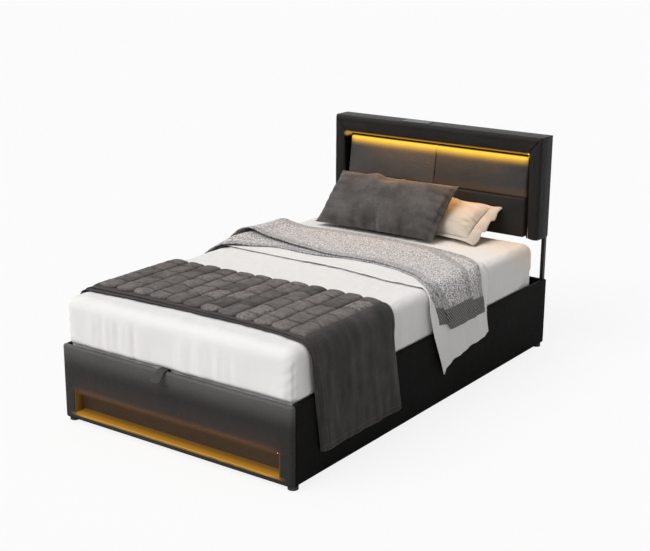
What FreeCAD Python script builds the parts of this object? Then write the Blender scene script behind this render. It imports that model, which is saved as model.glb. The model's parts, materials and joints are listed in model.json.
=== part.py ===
"""Storage bed: an upholstered frame with a lit headboard and footboard and a lifting mattress.

Millimetres, +Z up, +Y from the foot to the head, origin on the floor at the middle of the
whole outline.  Left is -X.
"""
import FreeCAD, Part
import math
import os
import re

from types import SimpleNamespace

os.makedirs("parts", exist_ok=True)
doc = FreeCAD.newDocument("StorageBed")

# Driving dimensions, in millimetres, degrees and counts
SIZES = {
    # Whole frame
    "frame_width": 1250,
    "frame_length": 2170,
    "glide_height": 15,
    "glide_radius": 22,
    "glide_inset": 24,
    "glide_setback": 38,
    "rail_height": 340,
    "rail_thickness": 25,
    "padding": 5,
    "padding_round": 10,
    "end_round": 12,
    # Footboard and its lit niche
    "footboard_thickness": 25,
    "footboard_top_round": 11,
    "footboard_corner_round": 18,
    "niche_end_margin": 67,
    "niche_height": 100,
    "niche_bottom": 50,
    "niche_depth": 58,
    "niche_wall": 6,
    "niche_corner": 8,
    "led_profile_width": 16,
    "led_profile_height": 8,
    "led_profile_wall": 1.5,
    "led_diffuser_height": 2,
    "led_end_gap": 12,
    "footboard_led_setback": 3,
    # Storage floor
    "floor_thickness": 12,
    "floor_side_gap": 1,
    "floor_seam": 2,
    "ledge_width": 20,
    "centre_beam_width": 50,
    "centre_glide_spacing": 760,
    # Corner brackets
    "bracket_leg": 40,
    "bracket_thickness": 3,
    "bracket_bottom": 165,
    "bracket_height": 70,
    # Lift frame and slats
    "lift_frame_bottom": 255,
    "lift_tube_width": 25,
    "lift_tube_height": 30,
    "lift_tube_wall": 1.5,
    "lift_frame_side_gap": 35,
    "lift_frame_foot": 42.5,
    "lift_frame_head_gap": 4,
    "cross_tube_count": 3,
    "slat_thickness": 15,
    "slat_width": 62,
    "slat_side_gap": 10,
    "slat_count": 14,
    "slat_end_gap": 18,
    "rest_ledge_width": 28,
    "rest_ledge_height": 22,
    "rest_ledge_foot": 80,
    "rest_ledge_gap": 55,
    "rest_clearance": 0.3,
    # Lift linkage: places from the back plane, and from the lift frame
    "platform_pivot_ahead": 470,
    "main_link_length": 260,
    "main_link_angle": 32,
    "front_base_ahead": 63.9,
    "front_base_drop": 19.6,
    "front_top_ahead": 41.5,
    "front_top_drop": 17.4,
    "link_thickness": 5,
    "link_radius": 13,
    "link_gap": 2,
    "plate_thickness": 5,
    "pin_radius": 5,
    "pin_clearance": 0.2,
    "open_pivot_clearance": 3.6,
    "pin_overhang": 1.5,
    "side_tube_gap": 1,
    "base_plate_bottom": 60,
    "base_plate_height": 100,
    "base_plate_margin": 20,
    "bracket_flange_height": 9,
    "bracket_tail": 60,
    "bracket_tail_start": 18,
    "bracket_plate_margin": 16,
    # Gas struts
    "strut_circle": 125,
    "strut_rod_angle": 59,
    "strut_base_angle": -24.4,
    "strut_inset": 29,
    "strut_tube_radius": 9,
    "strut_tube_wall": 1.5,
    "strut_tube_length": 100,
    "strut_rod_radius": 4,
    "strut_rod_length": 150,
    "strut_eye_radius": 9,
    "strut_eye_width": 12,
    "strut_fit": 0.2,
    # Headboard
    "headboard_side_inset": 4,
    "headboard_depth": 127,
    "headboard_bottom": 576,
    "headboard_top": 1095,
    "border_width": 77,
    "border_height": 85,
    "border_round": 14,
    "border_inner_round": 9,
    "border_padding": 14,
    "border_side_padding": 5,
    "beam_side_width": 60,
    "dust_cover_thickness": 5,
    "dust_cover_inset": 10,
    "backboard_setback": 62,
    "backboard_thickness": 12,
    "panel_setback": 8,
    "panel_lean": 27,
    "panel_side_gap": 8,
    "panel_top_gap": 22,
    "panel_seam_share": 0.4988,
    "panel_seam_gap": 1,
    "panel_round": 13,
    "headboard_led_setback": 26,
    "leg_width": 18,
    "leg_depth": 20,
    "leg_wall": 2,
    "leg_side_inset": 13,
    "leg_grip": 184,
    "leg_bottom": 30,
    # Charging station in the headboard's top
    "station_centre": -130,
    "station_width": 150,
    "station_depth": 62,
    "station_height": 42,
    "station_lip": 4,
    "station_lip_height": 3,
    "socket_width": 34,
    "socket_depth": 40,
    "socket_height": 12,
    "socket_spacing": 44,
    "socket_slot_width": 2.4,
    "socket_slot_length": 8,
    "socket_slot_spacing": 13,
    "usb_slot_width": 10,
    "usb_slot_depth": 3.4,
    "usb_slot_spacing": 16,
    "grommet_radius": 15,
    "grommet_hole": 8,
    "grommet_rise": 44,
    # Mattress and bedding
    "mattress_side_gap": 6,
    "mattress_height": 272,
    "mattress_foot": 46,
    "mattress_head_gap": 9,
    "mattress_round": 32,
    "sheet_thickness": 3,
    "mattress_stop_height": 45,
    "mattress_stop_width": 200,
    "mattress_stop_rod": 5,
    "bedding_clearance": 0.3,
    "hang_clearance": 4,
    "top_sheet_thickness": 3,
    "top_sheet_foot_left_share": 0.4824,
    "top_sheet_foot_right_share": 0.4875,
    "top_sheet_head_left_share": 0.7482,
    "top_sheet_head_right_share": 0.7482,
    "top_sheet_drop": 375,
    "blanket_thickness": 14,
    "blanket_foot_left_share": 0.5226,
    "blanket_foot_right_share": 0.5025,
    "blanket_head_left_share": 0.7909,
    "blanket_head_right_share": 0.7257,
    "blanket_drop": 210,
    "throw_thickness": 9,
    "throw_crown": 17,
    "throw_foot_left_share": 0.0186,
    "throw_foot_right_share": 0.0436,
    "throw_head_left_share": 0.327,
    "throw_head_right_share": 0.347,
    "throw_drop": 470,
    "throw_channel_count": 12,
    "throw_tuft_count": 5,
    "fold_depth": 5,
    "dark_pillow_width": 700,
    "dark_pillow_height": 350,
    "dark_pillow_thickness": 112,
    "dark_pillow_centre": -130,
    "dark_pillow_ahead": 371,
    "dark_pillow_angle": 42,
    "white_pillow_width": 690,
    "white_pillow_height": 290,
    "white_pillow_thickness": 100,
    "white_pillow_centre": 78,
    "white_pillow_ahead": 258,
    "white_pillow_angle": 26,
    # Pull strap over the footboard
    "strap_centre": -47,
    "strap_width": 42,
    "strap_thickness": 2.5,
    "strap_reach": 40,
    "strap_lift": 2.5,
    "strap_tail_height": 320,
    "strap_bend": 10,
}

# Places and fits worked out from the driving dimensions
PLACES = {
    "half_width": "frame_width / 2",
    "foot_y": "(strap_reach - frame_length) / 2",
    "head_y": "foot_y + frame_length",
    "headboard_front": "head_y - headboard_depth",
    "mattress_start": "foot_y + mattress_foot",
    "mattress_end": "headboard_front - mattress_head_gap",
    "rail_top": "glide_height + rail_height",
    "rail_inner": "half_width - rail_thickness",
    "footboard_inner": "foot_y + footboard_thickness",
    "head_rail_front": "head_y - rail_thickness",
    "niche_half": "half_width - niche_end_margin",
    "niche_top": "niche_bottom + niche_height",
    "niche_back": "foot_y + niche_depth + niche_wall",
    "floor_top": "glide_height + ledge_width + floor_thickness",
    "floor_foot": "niche_back + floor_seam",
    "floor_middle": "(floor_foot + head_rail_front) / 2",
    "lift_foot": "foot_y + lift_frame_foot",
    "lift_head": "mattress_end - lift_frame_head_gap",
    "lift_half": "rail_inner - lift_frame_side_gap",
    "lift_inner": "lift_half - lift_tube_width",
    "lift_top": "lift_frame_bottom + lift_tube_height",
    "slat_top": "lift_top + slat_thickness",
    "top_pivot_y": "head_y - platform_pivot_ahead",
    "top_pivot_z": "lift_frame_bottom + lift_tube_height / 2",
    "base_pivot_y": "top_pivot_y - main_link_length * cos(main_link_angle)",
    "base_pivot_z": "top_pivot_z - main_link_length * sin(main_link_angle)",
    "front_base_y": "base_pivot_y - front_base_ahead",
    "front_base_z": "base_pivot_z - front_base_drop",
    "front_top_y": "top_pivot_y - front_top_ahead",
    "front_top_z": "top_pivot_z - front_top_drop",
    "strut_rod_y": "base_pivot_y + strut_circle * cos(strut_rod_angle)",
    "strut_rod_z": "base_pivot_z + strut_circle * sin(strut_rod_angle)",
    "strut_base_y": "base_pivot_y + strut_circle * cos(strut_base_angle)",
    "strut_base_z": "base_pivot_z + strut_circle * sin(strut_base_angle)",
    "strut_slope": "90 + (strut_rod_angle + strut_base_angle) / 2",
    "main_layer": "lift_half + side_tube_gap",
    "plate_layer": "main_layer + link_thickness + link_gap",
    "front_layer": "plate_layer + plate_thickness + link_gap",
    "strut_layer": "main_layer - side_tube_gap - strut_inset - strut_tube_radius",
    "headboard_half": "half_width - headboard_side_inset",
    "border_inner": "headboard_half - border_width",
    "border_under": "headboard_top - border_height",
    "pad_back": "head_y - dust_cover_thickness",
    "beam_front": "headboard_front + border_padding",
    "beam_outer": "headboard_half - border_side_padding",
    "beam_inner": "beam_outer - beam_side_width",
    "beam_top": "headboard_top - border_padding",
    "beam_under": "border_under + border_side_padding",
    "beam_bottom": "headboard_bottom + border_side_padding",
    "leg_front": "pad_back - leg_depth",
    "leg_outer": "half_width - leg_side_inset",
    "leg_inner": "leg_outer - leg_width",
    "leg_top": "headboard_bottom + leg_grip",
    "backboard_front": "headboard_front + backboard_setback",
    "backboard_back": "backboard_front + backboard_thickness",
    "panel_front": "headboard_front + panel_setback",
    "panel_half": "border_inner - panel_side_gap",
    "panel_top": "border_under - panel_top_gap",
    "panel_seam": "beam_bottom + (panel_top - beam_bottom) * panel_seam_share",
    "headboard_led_front": "headboard_front + headboard_led_setback",
    "station_y": "(headboard_front + pad_back) / 2",
    "mattress_top": "slat_top + mattress_height",
    "sheet_top": "mattress_top + sheet_thickness",
    "mattress_half": "rail_inner - mattress_side_gap",
    "sheet_half": "mattress_half + sheet_thickness",
    "sheet_foot": "mattress_start - sheet_thickness",
    "sheet_head": "mattress_end + sheet_thickness",
}
for cloth in ("top_sheet", "blanket", "throw"):
    for edge in ("foot_left", "foot_right", "head_left", "head_right"):
        PLACES[f"{cloth}_{edge}"] = f"sheet_foot + (sheet_head - sheet_foot) * {cloth}_{edge}_share"


def fill_sheet(name, rows):
    """A sheet whose column A names each value and column B holds it."""
    sheet = doc.addObject("Spreadsheet::Sheet", name)
    for row, (alias, text) in enumerate(rows.items(), start=1):
        sheet.set(f"A{row}", alias)
        sheet.set(f"B{row}", text)
        sheet.setAlias(f"B{row}", alias)
    return sheet


WORD = re.compile(r"[a-z][a-z0-9_]*")


def with_sheets(formula, own=""):
    """The formula with each size and place led by the name of its sheet."""
    def lead(match):
        word = match.group()
        if word in SIZES:
            return f"Sizes.{word}"
        if word in PLACES:
            return f"{own}{word}"
        return word

    return WORD.sub(lead, formula)


sizes_sheet = fill_sheet("Sizes", {name: str(value) for name, value in SIZES.items()})
places_sheet = fill_sheet("Places", {name: "=" + with_sheets(text) for name, text in PLACES.items()})
doc.recompute()

size = SimpleNamespace(**{name: float(sizes_sheet.get(name)) for name in SIZES})
place = SimpleNamespace(**{name: float(places_sheet.get(name)) for name in PLACES})
near = size.bedding_clearance / size.slat_count
nodes = []


def bind(item, prop, formula):
    """Drive one property by a formula in the names of the two sheets."""
    item.setExpression(prop, with_sheets(formula, "Places."))


def move_to(item, x, y, z):
    """Drive the three coordinates of an item's place."""
    for axis, formula in zip("xyz", (x, y, z)):
        bind(item, f"Placement.Base.{axis}", formula)


def keep(item, label):
    """Name an object as a sub-part of the bed."""
    item.Label = label
    nodes.append(item)
    return item


def span(side, near_place, far_place):
    """The X range of a piece that lies between two distances from the centre line."""
    if side == "right":
        return near_place, far_place
    return f"-({far_place})", f"-({near_place})"


def block(name, x, y, z):
    """A box between pairs of places."""
    item = doc.addObject("Part::Box", name)
    for prop, (low, high) in (("Length", x), ("Width", y), ("Height", z)):
        bind(item, prop, f"({high}) - ({low})")
    move_to(item, x[0], y[0], z[0])
    return item


def bar(name, x, y, z, radius):
    """A round bar along X, centred at the places y and z."""
    item = doc.addObject("Part::Cylinder", name)
    item.Placement.Rotation = FreeCAD.Rotation(FreeCAD.Vector(0, 1, 0), 90)
    bind(item, "Radius", radius)
    bind(item, "Height", f"({x[1]}) - ({x[0]})")
    move_to(item, x[0], y, z)
    return item


def post(name, x, y, z, radius):
    """A round post along Z, centred at the places x and y."""
    item = doc.addObject("Part::Cylinder", name)
    bind(item, "Radius", radius)
    bind(item, "Height", f"({z[1]}) - ({z[0]})")
    move_to(item, x, y, z[0])
    return item


def join(name, items):
    """One solid of several that meet or overlap."""
    item = doc.addObject("Part::MultiFuse", name)
    item.Shapes = items
    return item


def cut(name, base, tools):
    """The base less each of the tools."""
    item = doc.addObject("Part::Cut", name)
    item.Base = base
    item.Tool = tools[0] if len(tools) == 1 else join(f"{name}Tools", tools)
    return item


def group(name, items):
    """Like pieces that stand apart, kept together."""
    item = doc.addObject("Part::Compound", name)
    item.Links = items
    return item


def edges_between(shape, pairs):
    """The names of a box's edges, each pair naming the two sides that meet there."""
    box = shape.BoundBox
    sides = {
        "left": ("x", box.XMin),
        "right": ("x", box.XMax),
        "foot": ("y", box.YMin),
        "head": ("y", box.YMax),
        "bottom": ("z", box.ZMin),
        "top": ("z", box.ZMax),
    }
    names = []
    for number, edge in enumerate(shape.Edges, start=1):
        middle = edge.CenterOfMass
        for pair in pairs:
            places = [sides[side] for side in pair.split("-")]
            if all(abs(getattr(middle, axis) - value) < near for axis, value in places):
                names.append(f"Edge{number}")
    return names


def rounded_block(name, x, y, z, rounds):
    """A body: a box whose listed edges are rounded, each set by its own radius."""
    body = doc.addObject("PartDesign::Body", name)
    box = body.newObject("PartDesign::AdditiveBox", f"{name}Box")
    for prop, (low, high) in (("Length", x), ("Width", y), ("Height", z)):
        bind(box, prop, f"({high}) - ({low})")
    move_to(body, x[0], y[0], z[0])
    doc.recompute()
    last = box
    for number, (radius, pairs) in enumerate(rounds, start=1):
        fillet = body.newObject("PartDesign::Fillet", f"{name}Round{number}")
        fillet.Base = (last, edges_between(last.Shape, pairs))
        bind(fillet, "Radius", radius)
        body.Tip = fillet
        doc.recompute()
        last = fillet
    return body


def leaning_block(name, x, y, z, lean, radius):
    """A body: a box whose foot side leans back at its top, that side's edges rounded."""
    body = doc.addObject("PartDesign::Body", name)
    body.Placement.Rotation = FreeCAD.Rotation(FreeCAD.Vector(1, 0, 0), 90)
    form = body.newObject("PartDesign::AdditiveWedge", f"{name}Form")
    width, depth, height = (f"({high}) - ({low})" for low, high in (x, y, z))
    for prop in ("Xmin", "X2min", "Ymin", "Zmin", "Z2min"):
        setattr(form, prop, 0)
    for prop, formula in (
        ("Xmax", width),
        ("X2max", width),
        ("Ymax", height),
        ("Zmax", depth),
        ("Z2max", f"{depth} - ({lean})"),
    ):
        bind(form, prop, formula)
    move_to(body, x[0], y[1], z[0])
    doc.recompute()
    rim = []
    for number, edge in enumerate(form.Shape.Edges, start=1):
        if min(vertex.Z for vertex in edge.Vertexes) > near:
            rim.append(f"Edge{number}")
    fillet = body.newObject("PartDesign::Fillet", f"{name}Round")
    fillet.Base = (form, rim)
    bind(fillet, "Radius", radius)
    body.Tip = fillet
    doc.recompute()
    return body


def solid(name, shape):
    """A sub-part whose form is lofted or swept from the sizes."""
    item = doc.addObject("Part::Feature", name)
    item.Shape = shape
    return item


SIDES = ("left", "right")


# Footboard with its niche
def footboard():
    outer_x = ("-half_width", "half_width")
    outer_y = ("foot_y", "footboard_inner")
    outer_z = ("glide_height", "rail_top")
    cover = rounded_block(
        "FootboardCover",
        outer_x,
        outer_y,
        outer_z,
        [
            ("footboard_corner_round", ["left-foot", "right-foot"]),
            ("footboard_top_round", ["top-foot", "top-head"]),
        ],
    )
    core_x = ("padding - half_width", "half_width - padding")
    core_y = ("foot_y + padding", "footboard_inner")
    core_z = ("glide_height + padding", "rail_top - footboard_top_round")
    opening = block("NicheMouth", ("-niche_half", "niche_half"), outer_y, ("niche_bottom", "niche_top"))
    liner_x = ("-niche_half - niche_wall", "niche_half + niche_wall")
    liner_y = ("foot_y + padding", "niche_back")
    liner_z = ("niche_bottom - niche_wall", "niche_top + niche_wall")
    core = rounded_block(
        "FootboardCoreBlank",
        core_x,
        core_y,
        core_z,
        [("footboard_corner_round - padding", ["left-foot", "right-foot"])],
    )
    keep(
        cut(
            "FootboardCoverCut",
            cover,
            [block("CorePocket", core_x, core_y, core_z), opening],
        ),
        "footboard_cover",
    )
    keep(cut("FootboardCore", core, [block("LinerHole", liner_x, liner_y, liner_z)]), "footboard_core")
    hollow = rounded_block(
        "NicheHollow",
        ("-niche_half", "niche_half"),
        ("foot_y", "foot_y + niche_depth"),
        ("niche_bottom", "niche_top"),
        [("niche_corner", ["left-head", "right-head"])],
    )
    keep(cut("NicheLiner", block("NicheBlank", liner_x, liner_y, liner_z), [hollow]), "niche_liner")


def led_strip(prefix, half_length, front, top):
    """A metal channel fixed under a ceiling, and the diffuser clipped into its open side."""
    low = f"{top} - led_profile_height"
    back = f"{front} + led_profile_width"
    channel = cut(
        f"{prefix}Channel",
        block(f"{prefix}Profile", (f"-({half_length})", half_length), (front, back), (low, top)),
        [
            block(
                f"{prefix}Groove",
                (f"-({half_length})", half_length),
                (f"{front} + led_profile_wall", f"{back} - led_profile_wall"),
                (low, f"{top} - led_profile_wall"),
            )
        ],
    )
    keep(channel, f"{prefix}_led_channel")
    diffuser = block(
        f"{prefix}Diffuser",
        (f"-({half_length})", half_length),
        (f"{front} + led_profile_wall", f"{back} - led_profile_wall"),
        (low, f"{low} + led_diffuser_height"),
    )
    keep(diffuser, f"{prefix}_led_diffuser")


# Side rails, head rail, legs and glides
def leg_block(side):
    """The place that a headboard leg takes, as a block."""
    return block(
        f"LegPlace_{side}",
        span(side, "leg_inner", "leg_outer"),
        ("leg_front", "pad_back"),
        ("leg_bottom", "leg_top"),
    )


def side_rail(side):
    foot = "footboard_inner"
    cover = rounded_block(
        f"RailCover_{side}",
        span(side, "rail_inner", "half_width"),
        (foot, "head_y"),
        ("glide_height", "rail_top"),
        [
            ("end_round", [f"{side}-head"]),
            ("padding_round", ["left-top", "right-top", "head-top"]),
        ],
    )
    core_x = span(side, "rail_inner + padding", "half_width - padding")
    core_y = (foot, "head_y - end_round")
    core_z = ("glide_height + padding", "rail_top - padding")
    core = block(f"RailCore_{side}", core_x, core_y, core_z)
    pocket = block(f"RailPocket_{side}", core_x, core_y, core_z)
    keep(cut(f"RailCoreCut_{side}", core, [leg_block(side)]), f"side_rail_{side}_core")
    keep(cut(f"RailCoverCut_{side}", cover, [pocket, leg_block(side)]), f"side_rail_{side}_cover")


def head_rail():
    outer_x = ("-rail_inner", "rail_inner")
    cover = rounded_block(
        "HeadRailCover",
        outer_x,
        ("head_rail_front", "head_y"),
        ("glide_height", "rail_top"),
        [("padding_round", ["top-foot", "top-head"])],
    )
    core_y = ("head_rail_front + padding", "head_y - padding")
    core_z = ("glide_height + padding", "rail_top - padding")
    core = block("HeadRailCore", outer_x, core_y, core_z)
    pocket = block("HeadRailPocket", outer_x, core_y, core_z)
    legs = [leg_block(side) for side in SIDES]
    keep(cut("HeadRailCoreCut", core, legs), "head_rail_core")
    keep(cut("HeadRailCoverCut", cover, [pocket] + legs), "head_rail_cover")


def glides():
    feet = []
    for side in SIDES:
        x = span(side, "half_width - glide_inset", "half_width - glide_inset")[0]
        for end, y in (("foot", "foot_y + glide_setback"), ("head", "head_y - glide_setback")):
            feet.append(post(f"Glide_{side}_{end}", x, y, ("0", "glide_height"), "glide_radius"))
    for end, sign in (("foot", "-"), ("head", "+")):
        y = f"floor_middle {sign} centre_glide_spacing / 2"
        feet.append(post(f"Glide_centre_{end}", "0", y, ("0", "glide_height"), "glide_radius"))
    keep(group("Glides", feet), "glides")


def corner_brackets():
    pieces = []
    for side in SIDES:
        outer = span(side, "rail_inner - bracket_thickness", "rail_inner")
        across = span(side, "rail_inner - bracket_leg", "rail_inner")
        height = ("bracket_bottom", "bracket_bottom + bracket_height")
        foot = (
            block(f"BracketFootA_{side}", outer, ("footboard_inner", "footboard_inner + bracket_leg"), height),
            block(f"BracketFootB_{side}", across, ("footboard_inner", "footboard_inner + bracket_thickness"), height),
        )
        head = (
            block(f"BracketHeadA_{side}", outer, ("head_rail_front - bracket_leg", "head_rail_front"), height),
            block(f"BracketHeadB_{side}", across, ("head_rail_front - bracket_thickness", "head_rail_front"), height),
        )
        pieces += [join(f"BracketFoot_{side}", list(foot)), join(f"BracketHead_{side}", list(head))]
    keep(group("CornerBrackets", pieces), "corner_brackets")


# Storage floor
def storage_floor():
    width = ("floor_side_gap - rail_inner", "rail_inner - floor_side_gap")
    height = ("glide_height + ledge_width", "floor_top")
    keep(block("FloorFoot", width, ("floor_foot", "floor_middle - floor_seam / 2"), height), "floor_board_foot")
    keep(block("FloorHead", width, ("floor_middle + floor_seam / 2", "head_rail_front"), height), "floor_board_head")
    under = ("glide_height", "glide_height + ledge_width")
    length = ("niche_back", "head_rail_front")
    for side in SIDES:
        x = span(side, "rail_inner - ledge_width", "rail_inner")
        keep(block(f"FloorLedge_{side}", x, length, under), f"floor_ledge_{side}")
    beam = ("-centre_beam_width / 2", "centre_beam_width / 2")
    keep(block("CentreBeam", beam, length, under), "centre_beam")
    for side in SIDES:
        x = span(side, "rail_inner - rest_ledge_width", "rail_inner")
        y = ("foot_y + rest_ledge_foot", "front_base_y - rest_ledge_gap")
        z = ("lift_top - rest_clearance - rest_ledge_height", "lift_top - rest_clearance")
        keep(block(f"RestLedge_{side}", x, y, z), f"rest_ledge_{side}")


# Headboard
def headboard_legs():
    for side in SIDES:
        x = span(side, "leg_inner", "leg_outer")
        bore_x = span(side, "leg_inner + leg_wall", "leg_outer - leg_wall")
        tube = block(f"LegTube_{side}", x, ("leg_front", "pad_back"), ("leg_bottom", "leg_top"))
        bore = block(
            f"LegBore_{side}",
            bore_x,
            ("leg_front + leg_wall", "pad_back - leg_wall"),
            ("leg_bottom", "leg_top"),
        )
        keep(cut(f"Leg_{side}", tube, [bore]), f"headboard_leg_{side}")


def station_block():
    """The recess for the charging station."""
    return block(
        "StationPlace",
        ("station_centre - station_width / 2", "station_centre + station_width / 2"),
        ("station_y - station_depth / 2", "station_y + station_depth / 2"),
        ("headboard_top - station_height", "headboard_top"),
    )


def headboard_form():
    """The padded border before it is parted at its mitres."""
    body = rounded_block(
        "HeadboardForm",
        ("-headboard_half", "headboard_half"),
        ("headboard_front", "pad_back"),
        ("headboard_bottom", "headboard_top"),
        [
            (
                "border_round",
                [
                    "left-top",
                    "right-top",
                    "left-foot",
                    "right-foot",
                    "top-foot",
                    "left-bottom",
                    "right-bottom",
                    "bottom-foot",
                ],
            )
        ],
    )
    mouth = body.newObject("PartDesign::SubtractiveBox", "HeadboardMouth")
    bind(mouth, "Length", "2 * border_inner")
    bind(mouth, "Width", "pad_back - headboard_front")
    bind(mouth, "Height", "border_under - headboard_bottom")
    bind(mouth, "Placement.Base.x", "border_width")
    body.Tip = mouth
    doc.recompute()
    inner = []
    for number, edge in enumerate(mouth.Shape.Edges, start=1):
        middle = edge.CenterOfMass
        within = abs(middle.x - place.headboard_half) < place.border_inner + near
        if within and abs(middle.y) < near and middle.z < size.headboard_top:
            low = middle.z - (place.border_under - size.headboard_bottom) < near
            if low and edge.Length > size.border_round * 2 and middle.z > near:
                inner.append(f"Edge{number}")
    fillet = body.newObject("PartDesign::Fillet", "HeadboardMouthRound")
    fillet.Base = (mouth, inner)
    bind(fillet, "Radius", "border_inner_round")
    body.Tip = fillet
    doc.recompute()
    return body


def wedge(name, corners):
    """A prism through the headboard's depth, its outline in X and Z."""
    points = [FreeCAD.Vector(x, place.headboard_front, z) for x, z in corners]
    face = Part.Face(Part.makePolygon(points + points[:1]))
    return solid(name, face.extrude(FreeCAD.Vector(0, size.headboard_depth, 0)))


def headboard_border():
    form = headboard_form()
    half = place.headboard_half
    inner = place.border_inner
    top = size.headboard_top
    under = place.border_under
    bottom = size.headboard_bottom
    wedges = {
        "top": wedge("WedgeTop", [(-half, top), (half, top), (inner, under), (-inner, under)]),
        "left": wedge("WedgeLeft", [(-half, top), (-inner, under), (-inner, bottom), (-half, bottom)]),
        "right": wedge("WedgeRight", [(half, top), (inner, under), (inner, bottom), (half, bottom)]),
    }
    depth = ("beam_front", "pad_back")
    top_room = block("TopRoom", ("-beam_outer", "beam_outer"), depth, ("beam_under", "beam_top"))
    for name, prism in wedges.items():
        pad = doc.addObject("Part::Common", f"BorderBlank_{name}")
        pad.Base = form
        pad.Tool = prism
        if name == "top":
            tools = [top_room, station_block()]
        else:
            x = span(name, "beam_inner", "beam_outer")
            side_room = block(f"SideRoom_{name}", x, depth, ("beam_bottom", "beam_under"))
            tools = [top_room, side_room, leg_block(name)]
        keep(cut(f"BorderPad_{name}", pad, tools), f"headboard_pad_{name}")
    beam = block("BeamTop", ("-beam_outer", "beam_outer"), ("beam_front", "leg_front"), ("beam_under", "beam_top"))
    keep(cut("BeamTopCut", beam, [station_block()]), "headboard_beam_top")
    for side in SIDES:
        x = span(side, "beam_inner", "beam_outer")
        y = ("beam_front", "leg_front")
        keep(block(f"BeamSide_{side}", x, y, ("beam_bottom", "beam_under")), f"headboard_beam_{side}")


def headboard_inside():
    full_z = ("headboard_bottom + border_side_padding", "border_under")
    back_y = ("backboard_front", "backboard_back")
    keep(block("Backboard", ("-border_inner", "border_inner"), back_y, full_z), "headboard_backboard")
    deep = ("panel_front", "backboard_front")
    for side in SIDES:
        x = span(side, "panel_seam_gap / 2", "panel_half")
        lower = rounded_block(
            f"Panel_{side}_lower",
            x,
            deep,
            ("headboard_bottom + border_side_padding", "panel_seam"),
            [("panel_round", ["left-foot", "right-foot", "top-foot", "bottom-foot"])],
        )
        keep(lower, f"headboard_panel_{side}_lower")
        high = ("panel_seam + panel_seam_gap", "panel_top")
        upper = leaning_block(f"Panel_{side}_upper", x, deep, high, "panel_lean", "panel_round")
        keep(upper, f"headboard_panel_{side}_upper")
    led_strip("headboard", "border_inner - led_end_gap", "headboard_led_front", "border_under")
    cover = block(
        "DustCover",
        ("dust_cover_inset - headboard_half", "headboard_half - dust_cover_inset"),
        ("pad_back", "head_y"),
        ("headboard_bottom + dust_cover_inset", "headboard_top - dust_cover_inset"),
    )
    hole = doc.addObject("Part::Cylinder", "GrommetHole")
    ring = doc.addObject("Part::Cylinder", "GrommetRing")
    bore = doc.addObject("Part::Cylinder", "GrommetBore")
    for item, radius in ((hole, "grommet_radius"), (ring, "grommet_radius"), (bore, "grommet_hole")):
        item.Placement.Rotation = FreeCAD.Rotation(FreeCAD.Vector(1, 0, 0), 90)
        bind(item, "Radius", radius)
        bind(item, "Height", "dust_cover_thickness")
        move_to(item, "station_centre", "head_y", "headboard_bottom + grommet_rise")
    keep(cut("DustCoverCut", cover, [hole]), "headboard_dust_cover")
    keep(cut("Grommet", ring, [bore]), "cable_grommet")


def charging_station():
    lip = block(
        "StationLip",
        ("station_centre - station_width / 2 - station_lip", "station_centre + station_width / 2 + station_lip"),
        ("station_y - station_depth / 2 - station_lip", "station_y + station_depth / 2 + station_lip"),
        ("headboard_top", "headboard_top + station_lip_height"),
    )
    recesses = []
    inserts = []
    top = "headboard_top + station_lip_height"
    low = f"{top} - socket_height"
    slot_y = ("station_y - socket_slot_length / 2", "station_y + socket_slot_length / 2")
    for number, offset in enumerate(("-socket_spacing", "0", "socket_spacing"), start=1):
        middle = f"station_centre + {offset}"
        x = (f"{middle} - socket_width / 2", f"{middle} + socket_width / 2")
        y = ("station_y - socket_depth / 2", "station_y + socket_depth / 2")
        recesses.append(block(f"Recess_{number}", x, y, (low, top)))
        insert = block(f"Insert_{number}", x, y, (low, top))
        if offset == "socket_spacing":
            slots = [
                block(
                    f"UsbSlot_{step}",
                    (f"{middle} - usb_slot_width / 2", f"{middle} + usb_slot_width / 2"),
                    (f"station_y {sign} usb_slot_spacing / 2 - usb_slot_depth / 2",
                     f"station_y {sign} usb_slot_spacing / 2 + usb_slot_depth / 2"),
                    (f"{top} - socket_height / 2", top),
                )
                for step, sign in (("near", "-"), ("far", "+"))
            ]
        else:
            slots = [
                block(
                    f"Slot_{number}_{step}",
                    (f"{middle} {sign} socket_slot_spacing / 2 - socket_slot_width / 2",
                     f"{middle} {sign} socket_slot_spacing / 2 + socket_slot_width / 2"),
                    slot_y,
                    (f"{top} - socket_height / 2", top),
                )
                for step, sign in (("a", "-"), ("b", "+"))
            ]
        inserts.append(cut(f"InsertCut_{number}", insert, slots))
    body = join("StationBody", [station_block(), lip])
    keep(cut("Station", body, recesses), "charging_station")
    keep(group("Inserts", inserts), "charging_sockets")


# Lift linkage
def link(name, side, layer, thickness, start, end, radius):
    """A flat bar with round ends from one pivot to the next, each a pair of places in Y and Z."""
    x = span(side, layer, f"{layer} + {thickness}")
    run = f"sqrt(({end[0]} - {start[0]}) ^ 2 + ({end[1]} - {start[1]}) ^ 2)"
    ends = [
        bar(f"{name}Start", x, start[0], start[1], radius),
        bar(f"{name}End", x, end[0], end[1], radius),
    ]
    middle = doc.addObject("Part::Box", f"{name}Bar")
    slope = f"atan2({end[1]} - {start[1]}; {end[0]} - {start[0]})"
    middle.Placement.Rotation = FreeCAD.Rotation(FreeCAD.Vector(1, 0, 0), 1)
    bind(middle, "Placement.Rotation.Angle", slope)
    bind(middle, "Length", thickness)
    bind(middle, "Width", run)
    bind(middle, "Height", f"2 * {radius}")
    move_to(
        middle,
        x[0],
        f"{start[0]} + {radius} * sin({slope})",
        f"{start[1]} - {radius} * cos({slope})",
    )
    return join(name, ends + [middle])


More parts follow.
